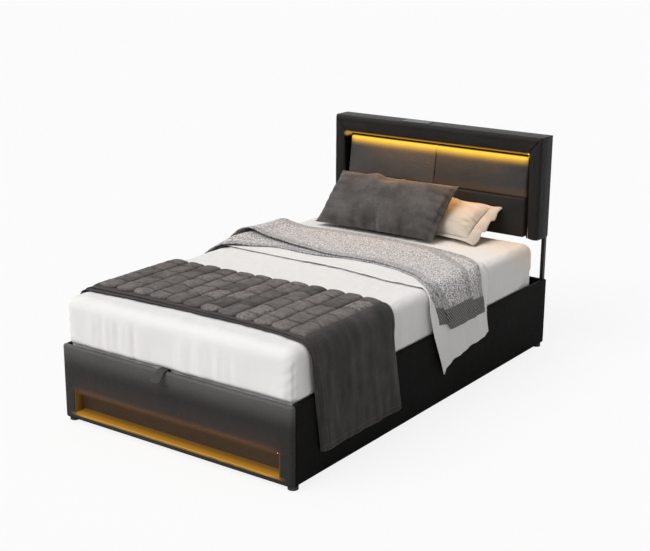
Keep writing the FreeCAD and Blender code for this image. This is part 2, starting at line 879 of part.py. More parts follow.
MAIN_BASE = ("base_pivot_y", "base_pivot_z")
MAIN_TOP = ("top_pivot_y", "top_pivot_z")
FRONT_BASE = ("front_base_y", "front_base_z")
FRONT_TOP = ("front_top_y", "front_top_z")
STRUT_BASE = ("strut_base_y", "strut_base_z")
STRUT_ROD = ("strut_rod_y", "strut_rod_z")
PIN_HOLE = "pin_radius + pin_clearance"
STRUT_FAR = "strut_layer - strut_eye_width / 2 - pin_overhang"


def main_links():
    for side in SIDES:
        arm = link(f"MainArm_{side}", side, "main_layer", "link_thickness", MAIN_BASE, MAIN_TOP, "link_radius")
        ear = link(f"MainEar_{side}", side, "main_layer", "link_thickness", MAIN_BASE, STRUT_ROD, "link_radius")
        web_end = (
            "base_pivot_y + main_link_length / 2 * cos(main_link_angle)",
            "base_pivot_z + main_link_length / 2 * sin(main_link_angle)",
        )
        web = link(f"MainWeb_{side}", side, "main_layer", "link_thickness", STRUT_ROD, web_end, "link_radius")
        pin_x = span(side, STRUT_FAR, "main_layer + link_thickness")
        pin = bar(f"RodPin_{side}", pin_x, STRUT_ROD[0], STRUT_ROD[1], "pin_radius")
        plate = join(f"MainPlate_{side}", [arm, ear, web, pin])
        hole_x = span(side, "main_layer", "main_layer + link_thickness")
        holes = [
            bar(f"MainHoleBase_{side}", hole_x, MAIN_BASE[0], MAIN_BASE[1], PIN_HOLE),
            bar(f"MainHoleTop_{side}", hole_x, MAIN_TOP[0], MAIN_TOP[1], PIN_HOLE),
        ]
        keep(cut(f"MainLink_{side}", plate, holes), f"main_link_{side}")


def front_links():
    for side in SIDES:
        arm = link(
            f"FrontArm_{side}", side, "front_layer", "link_thickness", FRONT_BASE, FRONT_TOP, "link_radius"
        )
        hole_x = span(side, "front_layer", "front_layer + link_thickness")
        holes = [
            bar(f"FrontHoleBase_{side}", hole_x, FRONT_BASE[0], FRONT_BASE[1], PIN_HOLE),
            bar(f"FrontHoleTop_{side}", hole_x, FRONT_TOP[0], FRONT_TOP[1], "pin_radius + open_pivot_clearance"),
        ]
        keep(cut(f"FrontLink_{side}", arm, holes), f"front_link_{side}")


def hinge_plates():
    """The brackets on the side rails, with the pins that the links and struts turn on."""
    y = ("front_base_y - base_plate_margin", "strut_base_y + base_plate_margin")
    low = "base_plate_bottom"
    z = (low, "base_plate_bottom + base_plate_height")
    outward = "front_layer + link_thickness + pin_overhang"
    for side in SIDES:
        rail_leaf = block(f"RailLeaf_{side}", span(side, "rail_inner - plate_thickness", "rail_inner"), y, z)
        foot = block(
            f"PlateFoot_{side}",
            span(side, "plate_layer", "rail_inner"),
            y,
            (low, "base_plate_bottom + plate_thickness"),
        )
        leaf = block(f"PinLeaf_{side}", span(side, "plate_layer", "plate_layer + plate_thickness"), y, z)
        plate_far = "plate_layer + plate_thickness"
        pins = [
            bar(f"BasePin_{side}", span(side, "main_layer", plate_far), MAIN_BASE[0], MAIN_BASE[1], "pin_radius"),
            bar(f"FrontPin_{side}", span(side, "plate_layer", outward), FRONT_BASE[0], FRONT_BASE[1], "pin_radius"),
            bar(f"StrutPin_{side}", span(side, STRUT_FAR, plate_far), STRUT_BASE[0], STRUT_BASE[1], "pin_radius"),
        ]
        keep(join(f"HingePlate_{side}", [rail_leaf, foot, leaf] + pins), f"hinge_plate_{side}")


def strut_part(name, length, radius, start):
    """A round piece along the strut's line, starting a distance from its lower pivot."""
    item = doc.addObject("Part::Cylinder", name)
    item.Placement.Rotation = FreeCAD.Rotation(FreeCAD.Vector(1, 0, 0), 1)
    bind(item, "Placement.Rotation.Angle", "strut_slope - 90")
    bind(item, "Radius", radius)
    bind(item, "Height", length)
    move_to(
        item,
        "0",
        f"strut_base_y + ({start}) * cos(strut_slope)",
        f"strut_base_z + ({start}) * sin(strut_slope)",
    )
    return item


def gas_struts():
    run = "2 * strut_circle * sin((strut_rod_angle - strut_base_angle) / 2)"
    for side in SIDES:
        sign = span(side, "strut_layer", "strut_layer")[0]
        eye_x = span(
            side,
            "strut_layer - strut_eye_width / 2",
            "strut_layer + strut_eye_width / 2",
        )
        tube_start = "strut_eye_radius * 2 / 3"
        tube_end = f"{tube_start} + strut_tube_length"
        tube = strut_part(f"StrutTube_{side}", "strut_tube_length", "strut_tube_radius", tube_start)
        bore = strut_part(
            f"StrutBore_{side}",
            "strut_tube_length",
            "strut_tube_radius - strut_tube_wall",
            "strut_eye_radius + strut_tube_wall",
        )
        rod_start = f"{run} - strut_rod_length"
        rod = strut_part(f"StrutRod_{side}", "strut_rod_length", "strut_rod_radius", rod_start)
        collar = strut_part(
            f"StrutCollar_{side}",
            "2 * strut_tube_wall",
            "strut_tube_radius - strut_tube_wall / 2",
            f"{tube_end} - 2 * strut_tube_wall",
        )
        collar_bore = strut_part(
            f"CollarBore_{side}",
            "2 * strut_tube_wall",
            "strut_rod_radius + strut_fit",
            f"{tube_end} - 2 * strut_tube_wall",
        )
        piston = strut_part(
            f"StrutPiston_{side}",
            "2 * strut_tube_wall",
            "strut_tube_radius - strut_tube_wall - strut_fit",
            rod_start,
        )
        for item in (tube, bore, rod, collar, collar_bore, piston):
            bind(item, "Placement.Base.x", sign)
        base_eye = bar(f"BaseEye_{side}", eye_x, STRUT_BASE[0], STRUT_BASE[1], "strut_eye_radius")
        rod_eye = bar(f"RodEye_{side}", eye_x, STRUT_ROD[0], STRUT_ROD[1], "strut_eye_radius")
        base_hole = bar(f"BaseEyeHole_{side}", eye_x, STRUT_BASE[0], STRUT_BASE[1], PIN_HOLE)
        rod_hole = bar(f"RodEyeHole_{side}", eye_x, STRUT_ROD[0], STRUT_ROD[1], PIN_HOLE)
        shell = cut(f"StrutShell_{side}", tube, [bore])
        ring = cut(f"StrutRing_{side}", collar, [collar_bore])
        cylinder = join(f"StrutCylinderBody_{side}", [base_eye, shell, ring])
        keep(cut(f"StrutCylinder_{side}", cylinder, [base_hole]), f"strut_cylinder_{side}")
        shaft = join(f"StrutRodBody_{side}", [rod_eye, rod, piston])
        keep(cut(f"StrutShaft_{side}", shaft, [rod_hole]), f"strut_rod_{side}")


# Lift frame, slats and mattress stop
def lift_frame():
    z = ("lift_frame_bottom", "lift_top")
    pieces = []
    brackets = []
    for side in SIDES:
        outer = span(side, "lift_inner", "lift_half")
        bore_x = span(side, "lift_inner + lift_tube_wall", "lift_half - lift_tube_wall")
        tube = block(f"SideTube_{side}", outer, ("lift_foot", "lift_head"), z)
        bore = block(
            f"SideBore_{side}",
            bore_x,
            ("lift_foot", "lift_head"),
            ("lift_frame_bottom + lift_tube_wall", "lift_top - lift_tube_wall"),
        )
        pieces.append(cut(f"SideTubeCut_{side}", tube, [bore]))
        plate_x = span(side, "plate_layer", "plate_layer + plate_thickness")
        tail_end = "top_pivot_y + bracket_tail"
        plate_y = ("front_top_y - bracket_plate_margin", tail_end)
        plate_z = ("front_top_z - bracket_plate_margin", "lift_top")
        plate = block(f"LiftPlate_{side}", plate_x, plate_y, plate_z)
        flange = block(
            f"LiftFlange_{side}",
            span(side, "lift_half", "plate_layer + plate_thickness"),
            ("top_pivot_y + bracket_tail_start", tail_end),
            ("lift_top - bracket_flange_height", "lift_top"),
        )
        pin_far = "plate_layer + plate_thickness"
        outward = "front_layer + link_thickness + pin_overhang"
        main_pin = bar(f"TopPin_{side}", span(side, "lift_half", pin_far), MAIN_TOP[0], MAIN_TOP[1], "pin_radius")
        front_pin = bar(
            f"FrontTopPin_{side}", span(side, "plate_layer", outward), FRONT_TOP[0], FRONT_TOP[1], "pin_radius"
        )
        brackets.append(join(f"LiftBracket_{side}", [plate, flange, main_pin, front_pin]))
    across = ("-lift_inner", "lift_inner")
    spaces = int(size.cross_tube_count) + 1
    for number in range(spaces + 1):
        start = f"lift_foot + (lift_head - lift_foot - lift_tube_width) * {number} / {spaces}"
        channel = block(f"Cross_{number}", across, (start, f"{start} + lift_tube_width"), z)
        groove = block(
            f"CrossGroove_{number}",
            across,
            (f"{start} + lift_tube_wall", f"{start} + lift_tube_width - lift_tube_wall"),
            ("lift_frame_bottom", "lift_top - lift_tube_wall"),
        )
        pieces.append(cut(f"CrossCut_{number}", channel, [groove]))
    keep(group("LiftFrame", [join("LiftTubes", pieces)] + brackets), "lift_frame")


def slats():
    count = int(size.slat_count)
    x = ("slat_side_gap - rail_inner", "rail_inner - slat_side_gap")
    boards = []
    for number in range(count):
        start = (
            "lift_foot + slat_end_gap"
            f" + (lift_head - lift_foot - 2 * slat_end_gap - slat_width) * {number} / {count - 1}"
        )
        boards.append(block(f"Slat_{number}", x, (start, f"{start} + slat_width"), ("lift_top", "slat_top")))
    keep(group("Slats", boards), "slats")


def mattress_stop():
    """A bent rod at the head end that keeps the mattress from sliding when it is lifted."""
    z_high = "slat_top + mattress_stop_height"
    gap = "mattress_stop_rod * 2 + bedding_clearance"
    y = "sheet_head + mattress_stop_rod + bedding_clearance"
    half = "mattress_stop_width / 2"
    uprights = [
        post(
            f"StopPost_{side}",
            span(side, half, half)[0],
            y,
            ("lift_frame_bottom", z_high),
            "mattress_stop_rod",
        )
        for side in SIDES
    ]
    top = bar("StopTop", (f"-{half} - mattress_stop_rod", f"{half} + mattress_stop_rod"), y, z_high, "mattress_stop_rod")
    arms = [
        block(
            f"StopArm_{side}",
            span(side, f"{half} - mattress_stop_rod", f"{half} + mattress_stop_rod"),
            ("lift_head", f"{y} + mattress_stop_rod"),
            ("lift_frame_bottom", f"lift_frame_bottom + {gap}"),
        )
        for side in SIDES
    ]
    keep(join("MattressStop", uprights + [top] + arms), "mattress_stop")


# Mattress and bedding
def mattress():
    soft_edges = ["left-foot", "right-foot", "left-head", "right-head", "top-foot", "top-head", "left-top", "right-top"]
    inner = rounded_block(
        "Mattress",
        ("-mattress_half", "mattress_half"),
        ("mattress_start", "mattress_end"),
        ("slat_top", "mattress_top"),
        [("mattress_round", soft_edges)],
    )
    keep(inner, "mattress")
    outer = rounded_block(
        "SheetForm",
        ("-sheet_half", "sheet_half"),
        ("sheet_foot", "sheet_head"),
        ("slat_top + bedding_clearance", "sheet_top"),
        [("mattress_round + sheet_thickness", soft_edges)],
    )
    keep(cut("FittedSheet", outer, [inner]), "fitted_sheet")


# The bends of a hanging cloth: how far out from the mattress's side towards the hang, how far
# down in rounds of the mattress's edge, then the thickness's shares across and up
BEND_SHARES = (
    (0.2, 0.43, 0.7, 0.7),
    (0.8, 1.3, 1.0, 0.0),
    (1.0, 2.4, 1.0, 0.0),
)
SHOULDER_SHARE = 0.58
SHOULDER_REACH_SHARE = 0.4


def hang_outline(under, thickness, edge, inside, drop, fold):
    """One side of a hanging cloth as pairs in X and Z: the inner points, then the outer ones."""
    turn = size.mattress_round + size.sheet_thickness
    inner = [(edge - turn, under), (edge - turn * SHOULDER_SHARE, under)]
    outer = [
        (edge - turn, under + thickness),
        (edge - turn * SHOULDER_SHARE + thickness * SHOULDER_REACH_SHARE, under + thickness),
    ]
    for reach, fall, across, up in BEND_SHARES:
        x = edge + (inside - edge) * reach
        z = under - turn * fall
        inner.append((x, z))
        outer.append((x + thickness * across, z + thickness * up))
    hem = under - drop
    for share in (1 / 2, 1):
        x = inside + fold * share
        z = inner[4][1] + (hem - inner[4][1]) * share
        inner.append((x, z))
        outer.append((x + thickness, z))
    return inner, outer


def draped(under, thickness, edge, inside, drop, foot, head, folds):
    """A cloth laid across the bed whose two ends hang: ruled between cross sections.

    foot and head give the places of the cloth's two edges along the bed, left then right.
    """
    wires = []
    steps = 2 * folds
    for step in range(steps + 1):
        share = step / steps
        left_y = foot[0] + (head[0] - foot[0]) * share
        right_y = foot[1] + (head[1] - foot[1]) * share
        fold = size.fold_depth * (step % 2)
        inner, outer = hang_outline(under, thickness, edge, inside, drop, fold)
        ring = [(-x, z) for x, z in reversed(outer)] + outer
        ring += list(reversed(inner)) + [(-x, z) for x, z in inner]
        middle_y = (left_y + right_y) / 2
        slope = (right_y - left_y) / (2 * edge)
        points = [FreeCAD.Vector(x, middle_y + slope * x, z) for x, z in ring]
        wires.append(Part.makePolygon(points + points[:1]))
    return Part.makeLoft(wires, True, True)


def channel_form(x, half, under, foot, head, count):
    """One quilted channel: arched sections along the bed, pinched at each cross seam."""
    wires = []
    run = head - foot
    for step in range(2 * count + 1):
        full = step % 2 == 1
        end = step in (0, 2 * count)
        rise = size.throw_crown if full else size.throw_crown / 2
        spread = half if not end else half * 3 / 4
        if end:
            rise = size.throw_crown / 4
        y = foot + run * step / (2 * count)
        low = FreeCAD.Vector(x - spread, y, under)
        high = FreeCAD.Vector(x, y, under + rise)
        far = FreeCAD.Vector(x + spread, y, under)
        arch = Part.Arc(low, high, far).toShape()
        wires.append(Part.Wire([arch, Part.makeLine(far, low)]))
    return Part.makeLoft(wires, True, True)


def throw():
    under = place.sheet_top + size.bedding_clearance
    inside = place.half_width + size.hang_clearance
    foot = (place.throw_foot_left, place.throw_foot_right)
    head = (place.throw_head_left, place.throw_head_right)
    edge = place.sheet_half
    form = draped(under, size.throw_thickness, edge, inside, size.throw_drop, foot, head, 3)
    count = int(size.throw_channel_count)
    flat = place.sheet_half - size.mattress_round
    pitch = 2 * flat / count
    channels = []
    for number in range(count):
        x = (number + 1 / 2) * pitch - flat
        share = (number + 1 / 2) / count
        start = foot[0] + (foot[1] - foot[0]) * share + size.throw_crown / 2
        stop = head[0] + (head[1] - head[0]) * share - size.throw_crown / 2
        level = under + size.throw_thickness
        channels.append(channel_form(x, pitch / 2 - near, level, start, stop, int(size.throw_tuft_count)))
    keep(solid("QuiltedThrow", form.fuse(channels).removeSplitter()), "quilted_throw")


def top_sheet_and_blanket():
    under = place.sheet_top + size.bedding_clearance
    inside = place.half_width + size.hang_clearance
    keep(
        solid(
            "TopSheet",
            draped(
                under,
                size.top_sheet_thickness,
                place.sheet_half,
                inside,
                size.top_sheet_drop,
                (place.top_sheet_foot_left, place.top_sheet_foot_right),
                (place.top_sheet_head_left, place.top_sheet_head_right),
                3,
            ),
        ),
        "top_sheet",
    )
    step = size.top_sheet_thickness + size.bedding_clearance
    keep(
        solid(
            "Blanket",
            draped(
                under + step,
                size.blanket_thickness,
                place.sheet_half + step,
                inside + step + size.fold_depth,
                size.blanket_drop,
                (place.blanket_foot_left, place.blanket_foot_right),
                (place.blanket_head_left, place.blanket_head_right),
                2,
            ),
        ),
        "blanket",
    )


# How far along a pillow each section stands, and its height and thickness there
PILLOW_SHARES = (
    (-0.5, 0.9, 0.12),
    (-0.46, 0.94, 0.45),
    (-0.3, 0.97, 0.88),
    (0.0, 1.0, 1.0),
    (0.3, 0.97, 0.88),
    (0.46, 0.94, 0.45),
    (0.5, 0.9, 0.12),
)
PILLOW_EDGE_SHARE = 0.3
PILLOW_TIP_SHARE = 0.9


def pillow_form(width, height, thickness, centre, foot, tilt):
    """A stuffed pillow that leans back on the sheet: rounded sections, thin at its two ends."""
    angle = math.radians(tilt)
    along = FreeCAD.Vector(0, math.cos(angle), math.sin(angle))
    out = FreeCAD.Vector(0, -math.sin(angle), math.cos(angle))
    base = FreeCAD.Vector(centre, foot, place.sheet_top)
    wires = []
    for across, tall, thick in PILLOW_SHARES:
        middle = base + along * (height / 2) + FreeCAD.Vector(width * across, 0, 0)
        reach = along * (height / 2 * tall)
        bulge = out * (thickness / 2 * thick)
        edge = bulge * PILLOW_EDGE_SHARE
        front = Part.Arc(
            middle - reach * PILLOW_TIP_SHARE + edge,
            middle + bulge,
            middle + reach * PILLOW_TIP_SHARE + edge,
        )
        high = Part.Arc(front.EndPoint, middle + reach, middle + reach * PILLOW_TIP_SHARE - edge)
        back = Part.Arc(high.EndPoint, middle - bulge, middle - reach * PILLOW_TIP_SHARE - edge)
        low = Part.Arc(back.EndPoint, middle - reach, front.StartPoint)
        wires.append(Part.Wire([arc.toShape() for arc in (front, high, back, low)]))
    form = Part.makeLoft(wires, True, False)
    rest = place.sheet_top + size.bedding_clearance
    form.translate(FreeCAD.Vector(0, 0, rest - form.optimalBoundingBox(False, False).ZMin))
    return form


def pillows():
    dark = pillow_form(
        size.dark_pillow_width,
        size.dark_pillow_height,
        size.dark_pillow_thickness,
        size.dark_pillow_centre,
        place.headboard_front - size.dark_pillow_ahead,
        size.dark_pillow_angle,
    )
    keep(solid("DarkPillow", dark), "dark_pillow")
    white = pillow_form(
        size.white_pillow_width,
        size.white_pillow_height,
        size.white_pillow_thickness,
        size.white_pillow_centre,
        place.headboard_front - size.white_pillow_ahead,
        size.white_pillow_angle,
    )
    keep(solid("WhitePillow", white), "white_pillow")


def pull_strap():
    """A ribbon fixed to the lift frame's foot end, laid over the footboard."""
    back = place.lift_foot
    thick = size.strap_thickness
    top = place.rail_top + size.strap_lift
    front = place.foot_y - thick
    tail = place.foot_y - size.strap_reach
    bend = size.strap_bend
    outline = [
        (back, size.lift_frame_bottom + thick),
        (back, top + thick - bend),
        (back - bend, top + thick),
        (front + bend / 2, top + thick),
        (front - bend, top - bend),
        (tail, size.strap_tail_height + thick),
        (tail, size.strap_tail_height),
        (front - bend, top - bend - 2 * thick),
        (front + bend / 2, top),
        (back - bend, top),
        (back - thick, top - bend + thick),
        (back - thick, size.lift_frame_bottom + thick),
    ]
    x = size.strap_centre - size.strap_width / 2
    points = [FreeCAD.Vector(x, y, z) for y, z in outline]
    face = Part.Face(Part.makePolygon(points + points[:1]))
    keep(solid("PullStrap", face.extrude(FreeCAD.Vector(size.strap_width, 0, 0))), "pull_strap")


footboard()
led_strip("footboard", "niche_half - led_end_gap", "foot_y + padding + footboard_led_setback", "niche_top")
for rail_side in SIDES:
    side_rail(rail_side)
head_rail()
glides()
corner_brackets()
storage_floor()
headboard_legs()
headboard_border()
headboard_inside()
charging_station()
hinge_plates()
main_links()
front_links()
gas_struts()
lift_frame()
slats()
mattress_stop()
mattress()
top_sheet_and_blanket()
throw()
pillows()
pull_strap()
doc.recompute()

# Check every object, then write one file for each sub-part
for item in doc.Objects:
    if "Invalid" in item.State or "Error" in item.State:
        raise RuntimeError(f"{item.Label} failed to compute")
for item in nodes:
    if item.Shape.isNull() or not item.Shape.isValid() or not item.Shape.Solids:
        raise RuntimeError(f"{item.Label} is not a sound solid")
    item.Shape.exportStep(f"parts/{item.Label}.step")
print(len(nodes), "sub-parts")
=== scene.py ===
# %% [markdown]
# # Dressing a storage bed
# The rigid bed comes as a fixed frame of CAD nodes, in metres: X to the right, Y from the foot
# to the head, Z up from the floor. This lesson adds the camera and the light, gives every node a
# finish, and replaces each soft node by cloth or padding with its real fullness.

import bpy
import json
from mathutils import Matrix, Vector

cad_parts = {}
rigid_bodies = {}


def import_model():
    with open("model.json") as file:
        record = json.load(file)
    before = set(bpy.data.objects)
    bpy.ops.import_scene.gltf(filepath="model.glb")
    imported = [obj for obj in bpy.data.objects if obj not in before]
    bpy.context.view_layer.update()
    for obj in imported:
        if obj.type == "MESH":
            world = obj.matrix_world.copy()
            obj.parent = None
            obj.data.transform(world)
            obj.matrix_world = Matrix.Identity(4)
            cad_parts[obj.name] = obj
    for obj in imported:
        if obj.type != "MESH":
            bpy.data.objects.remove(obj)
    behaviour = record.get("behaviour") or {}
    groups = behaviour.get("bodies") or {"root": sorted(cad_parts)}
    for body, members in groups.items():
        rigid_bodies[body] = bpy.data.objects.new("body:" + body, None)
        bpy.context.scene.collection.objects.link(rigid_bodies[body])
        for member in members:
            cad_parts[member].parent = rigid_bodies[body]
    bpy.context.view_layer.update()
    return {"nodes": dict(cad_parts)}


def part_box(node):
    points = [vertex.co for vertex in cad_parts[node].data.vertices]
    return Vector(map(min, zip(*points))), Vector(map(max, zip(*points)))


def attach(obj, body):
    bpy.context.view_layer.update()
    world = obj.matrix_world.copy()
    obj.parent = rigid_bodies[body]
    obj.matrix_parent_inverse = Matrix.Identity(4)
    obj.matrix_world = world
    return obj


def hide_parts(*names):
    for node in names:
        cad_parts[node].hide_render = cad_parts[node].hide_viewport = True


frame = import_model()

# %% Modules for meshes and numbers
import json
import math

import bmesh
import bpy
import numpy as np
from mathutils import Matrix, Vector, noise

scene = bpy.context.scene

# %% [markdown]
# ## The camera
# The bed is seen from the front right and a little above. The camera's place and turn were
# worked out from the straight edges of the frame, so a piece that sits right in the model also
# sits right in the picture.

# %% Place the camera
lens = bpy.data.cameras.new("camera")
lens.sensor_width = 36
lens.lens = 71.37
camera = bpy.data.objects.new("camera", lens)
scene.collection.objects.link(camera)
turn = Matrix.Rotation(math.radians(35.387), 4, "Z") @ Matrix.Rotation(math.radians(90 - 16.227), 4, "X")
camera.matrix_world = (
    Matrix.Translation((3.3605, -4.7055, 2.2052)) @ turn @ Matrix.Rotation(math.radians(0.346), 4, "Z")
)
scene.camera = camera
print("camera at", tuple(round(v, 3) for v in camera.location))

# %% [markdown]
# ## Shader maths as Python
# A material is a graph of nodes. To keep it readable, a socket is wrapped in a small class whose
# signs add Math nodes, and one method adds any other node.

# %% A socket that can be added and multiplied
class Flow:
    """One output socket of a material, or anything built on it with + - and *."""

    def __init__(self, finish, end):
        self.finish = finish
        self.end = end

    def math(self, operation, *others):
        return self.finish.node(
            "ShaderNodeMath", {"operation": operation}, {0: self, **dict(enumerate(others, 1))}
        )

    def __add__(self, other):
        return self.math("ADD", other)

    __radd__ = __add__

    def __mul__(self, other):
        return self.math("MULTIPLY", other)

    __rmul__ = __mul__

    def __sub__(self, other):
        return self.math("SUBTRACT", other)

    def __rsub__(self, other):
        return self * -1 + other

    def sine(self):
        return self.math("SINE")

    def power(self, exponent):
        return self.math("POWER", exponent)


# %% A material with one shader and short ways to feed it
class Finish:
    """A material: constants go straight on its shader, and what varies goes through nodes."""

    def __init__(self, name, colour, roughness, **constants):
        self.name = name
        self.material = bpy.data.materials.new(name)
        self.material.use_nodes = True
        self.tree = self.material.node_tree
        self.shader = self.tree.nodes["Principled BSDF"]
        self.shader.inputs["Base Color"].default_value = (*colour, 1)
        self.shader.inputs["Roughness"].default_value = roughness
        for socket, value in constants.items():
            self.shader.inputs[socket.replace("_", " ").title().replace("Ior", "IOR")].default_value = value
        self.place = self.node("ShaderNodeTexCoord", {}, {}, "Object")

    def node(self, kind, settings, sockets, output=0):
        item = self.tree.nodes.new(kind)
        for key, value in settings.items():
            setattr(item, key, value)
        for key, value in sockets.items():
            if isinstance(value, Flow):
                self.tree.links.new(value.end, item.inputs[key])
            else:
                item.inputs[key].default_value = value
        return Flow(self, item.outputs[output])

    def cloud(self, scale, detail=3, roughness=0.55, at=None):
        """Soft random values from 0 to 1, `scale` patches to a metre."""
        sockets = {"Vector": at or self.place, "Scale": scale, "Detail": detail, "Roughness": roughness}
        return self.node("ShaderNodeTexNoise", {}, sockets, "Fac")

    def stretched(self, x, y, z, at=None):
        """The place with each axis multiplied, so a pattern is drawn out along one of them."""
        return self.node("ShaderNodeMapping", {}, {"Vector": at or self.place, "Scale": (x, y, z)})

    def attribute(self, name):
        """Three numbers that a mesh keeps at its points, such as its flat place in metres."""
        return self.node("ShaderNodeAttribute", {"attribute_name": name}, {}, "Vector")

    def parts(self, flow):
        split = self.node("ShaderNodeSeparateXYZ", {}, {0: flow}, 0)
        outputs = split.end.node.outputs
        return [Flow(self, outputs[axis]) for axis in range(3)]

    def blend(self, factor, first, second):
        """A colour between two, each three numbers or a flow."""
        pair = [c if isinstance(c, Flow) else (*c, 1) for c in (first, second)]
        return self.node("ShaderNodeMix", {"data_type": "RGBA"}, {0: factor, 6: pair[0], 7: pair[1]}, 2)

    def step(self, flow, low, high):
        """0 below low, 1 above high and smooth between."""
        sockets = {"Value": flow, "From Min": low, "From Max": high}
        return self.node("ShaderNodeMapRange", {"interpolation_type": "SMOOTHSTEP"}, sockets)

    def feed(self, socket, flow):
        self.tree.links.new(flow.end, self.shader.inputs[socket])

    def bump(self, height, distance, strength=1.0):
        sockets = {"Height": height, "Distance": distance, "Strength": strength}
        self.feed("Normal", self.node("ShaderNodeBump", {}, sockets))


# %% [markdown]
# ## Finishes
# Each finish has the colour of its surface, a slow change of colour over it, and a fine relief:
# grain on leather, threads on cloth, pores on wood.

# %% Leather, and the same leather where the light strips tint it
def leather_finish(name, glow=None, colour=(0.011, 0.0105, 0.0100), shine=0.03, top=None, shade=None):
    """Black leather. glow turns the place into the light that the bed's own strips leave on it.

    top is a painted highlight: a second, lighter colour that the leather takes on towards the upper
    edge of the footboard, where the padding turns up to the light. shade is painted shade: it says
    where the leather is painted nearly black.
    """
    made = Finish(name, colour, 0.4, specular_ior_level=shine)
    warp = made.cloud(120, 2)
    cells = made.node(
        "ShaderNodeTexVoronoi", {"feature": "F1"}, {"Vector": made.place, "Scale": 560}, "Distance"
    )
    patches = made.cloud(5, 3)
    darker = tuple(0.8 * c for c in colour)
    lighter = tuple(1.35 * c for c in colour)
    skin = made.blend(patches, darker, lighter)
    # Painted highlight: towards the footboard's upper edge the leather turns to the lighter top colour, as
    # if lit from above.
    if top:
        rise = made.step(made.parts(made.place)[2], 0.245, 0.345).power(1.2)
        skin = made.blend(rise * (patches * 0.5 + 0.6), skin, top)
    dull = made.cloud(45, 3) * 0.2 + 0.34
    # Painted shade: where shade says, the leather is blended nearly black and made rougher.
    if shade:
        dark = shade(made, *made.parts(made.place))
        skin = made.blend(dark, skin, (0.001, 0.001, 0.001))
        dull = dull + dark * 0.6
    made.feed("Base Color", skin)
    made.feed("Roughness", dull)
    made.bump(cells * 0.5 + warp + made.cloud(30, 3) * 1.5 + made.cloud(9, 3) * 3, 0.0013, 0.7)
    if glow:
        made.shader.inputs["Emission Strength"].default_value = 1
        made.feed("Emission Color", glow(made, *made.parts(made.place)))
    return made


def panel_glow(made, x, y, z):
    """The strip's light on the panels: bright under the top pad, faint above the seam between them."""
    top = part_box("headboard_panel_left_upper")[1].z
    ends = made.step(x.math("ABSOLUTE") * -1, -0.56, -0.50)
    band = made.step(z, top - 0.020, top - 0.011)
    fade = made.step(z, top - 0.075, top - 0.010)
    seam = made.step(z, 0.784, 0.790) * made.step(z * -1, -0.850, -0.786)
    far = made.step(x, -0.5, 0.4)
    soft = made.blend(fade.power(3.0) * ends, (0.004, 0.003, 0.002), (0.95, 0.50, 0.02))
    warm = made.blend(seam * (far * 0.7 + 0.3), soft, (0.045, 0.018, 0.002))
    lit = made.blend(band * ends, warm, (1.0, 0.66, 0.045))
    return made.blend(made.step(z, top - 0.0022, top - 0.0012), lit, (0.10, 0.04, 0.0))


def border_glow(made, x, y, z):
    """The strip's light on the border: a line under the top pad and a spot at each end of the strip."""
    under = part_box("headboard_pad_top")[0].z
    reach = x.math("ABSOLUTE")
    line = made.step(z * -1, -(under + 0.0055), -(under + 0.003)) * made.step(reach * -1, -0.548, -0.530)
    line = line * made.step(z, under - 0.006, under - 0.002)
    across = reach - 0.541
    up = z - (under - 0.010)
    away = (across * across + up * up).power(0.5)
    spot = made.step(away * -1, -0.024, -0.003).power(1.8)
    warm = made.blend(line, (0, 0, 0), (0.22, 0.13, 0.012))
    return made.blend(spot, warm, (0.50, 0.27, 0.05))


def footboard_glow(made, x, y, z):
    """The niche's light on the footboard: a soft band above the opening and a line on its lower lip."""
    near = made.step(z, 0.146, 0.149) * made.step(z * -1, -0.182, -0.152).power(1.3)
    soft = made.step(z, 0.146, 0.15) * made.step(z * -1, -0.250, -0.155)
    wide = made.step(x.math("ABSOLUTE") * -1, -0.60, -0.50)
    lip = (
        made.step(y, -1.0640, -1.0610) * made.step(z * -1, -0.0515, -0.0505)
        * made.step(z, 0.036, 0.040) * wide
    )
    streak = made.cloud(9, 2, 0.5, made.stretched(0.6, 3, 1))
    above = made.blend(soft * wide, (0, 0, 0), (0.014, 0.006, 0.0025))
    above = made.blend(near * wide * (streak * 0.9 + 0.35), above, (0.085, 0.028, 0.001))
    return made.blend(lip, above, (0.52, 0.26, 0.010))


def niche_glow(made, x, y, z):
    """The niche's light on its own floor, back and end walls."""
    low = made.step(z * -1, -0.056, -0.0505)
    high = made.step(z, 0.085, 0.142)
    reach = x.math("ABSOLUTE")
    front = made.step(y * -1, 1.012, 1.060)
    wall = made.step(reach, 0.5572, 0.5580)
    wall_light = made.blend(front, (0.022, 0.010, 0.001), (0.090, 0.038, 0.002))
    streak = made.cloud(14, 2, 0.5, made.stretched(0.5, 3, 3))
    back = made.blend(high * (streak * 0.8 + 0.4), (0.026, 0.015, 0.008), (0.070, 0.028, 0.006))
    floor_light = made.blend(front, (0.125, 0.058, 0.002), (0.37, 0.155, 0.001))
    lit = made.blend(low, back, floor_light)
    return made.blend(wall, lit, wall_light)


def inner_shade(made, x, y, z):
    """Painted shade on the border's inner side below the strip: there the leather is nearly black."""
    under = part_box("headboard_pad_top")[0].z
    return made.step(x.math("ABSOLUTE") * -1, -0.562, -0.548) * made.step(z * -1, -under, 0.012 - under)


leather = leather_finish("black_leather")
rail_leather = leather_finish("rail_leather", None, (0.0118, 0.0113, 0.0108), 0.01)
border_leather = leather_finish(
    "border_leather", border_glow, (0.021, 0.0195, 0.0185), 0.05, None, inner_shade
)
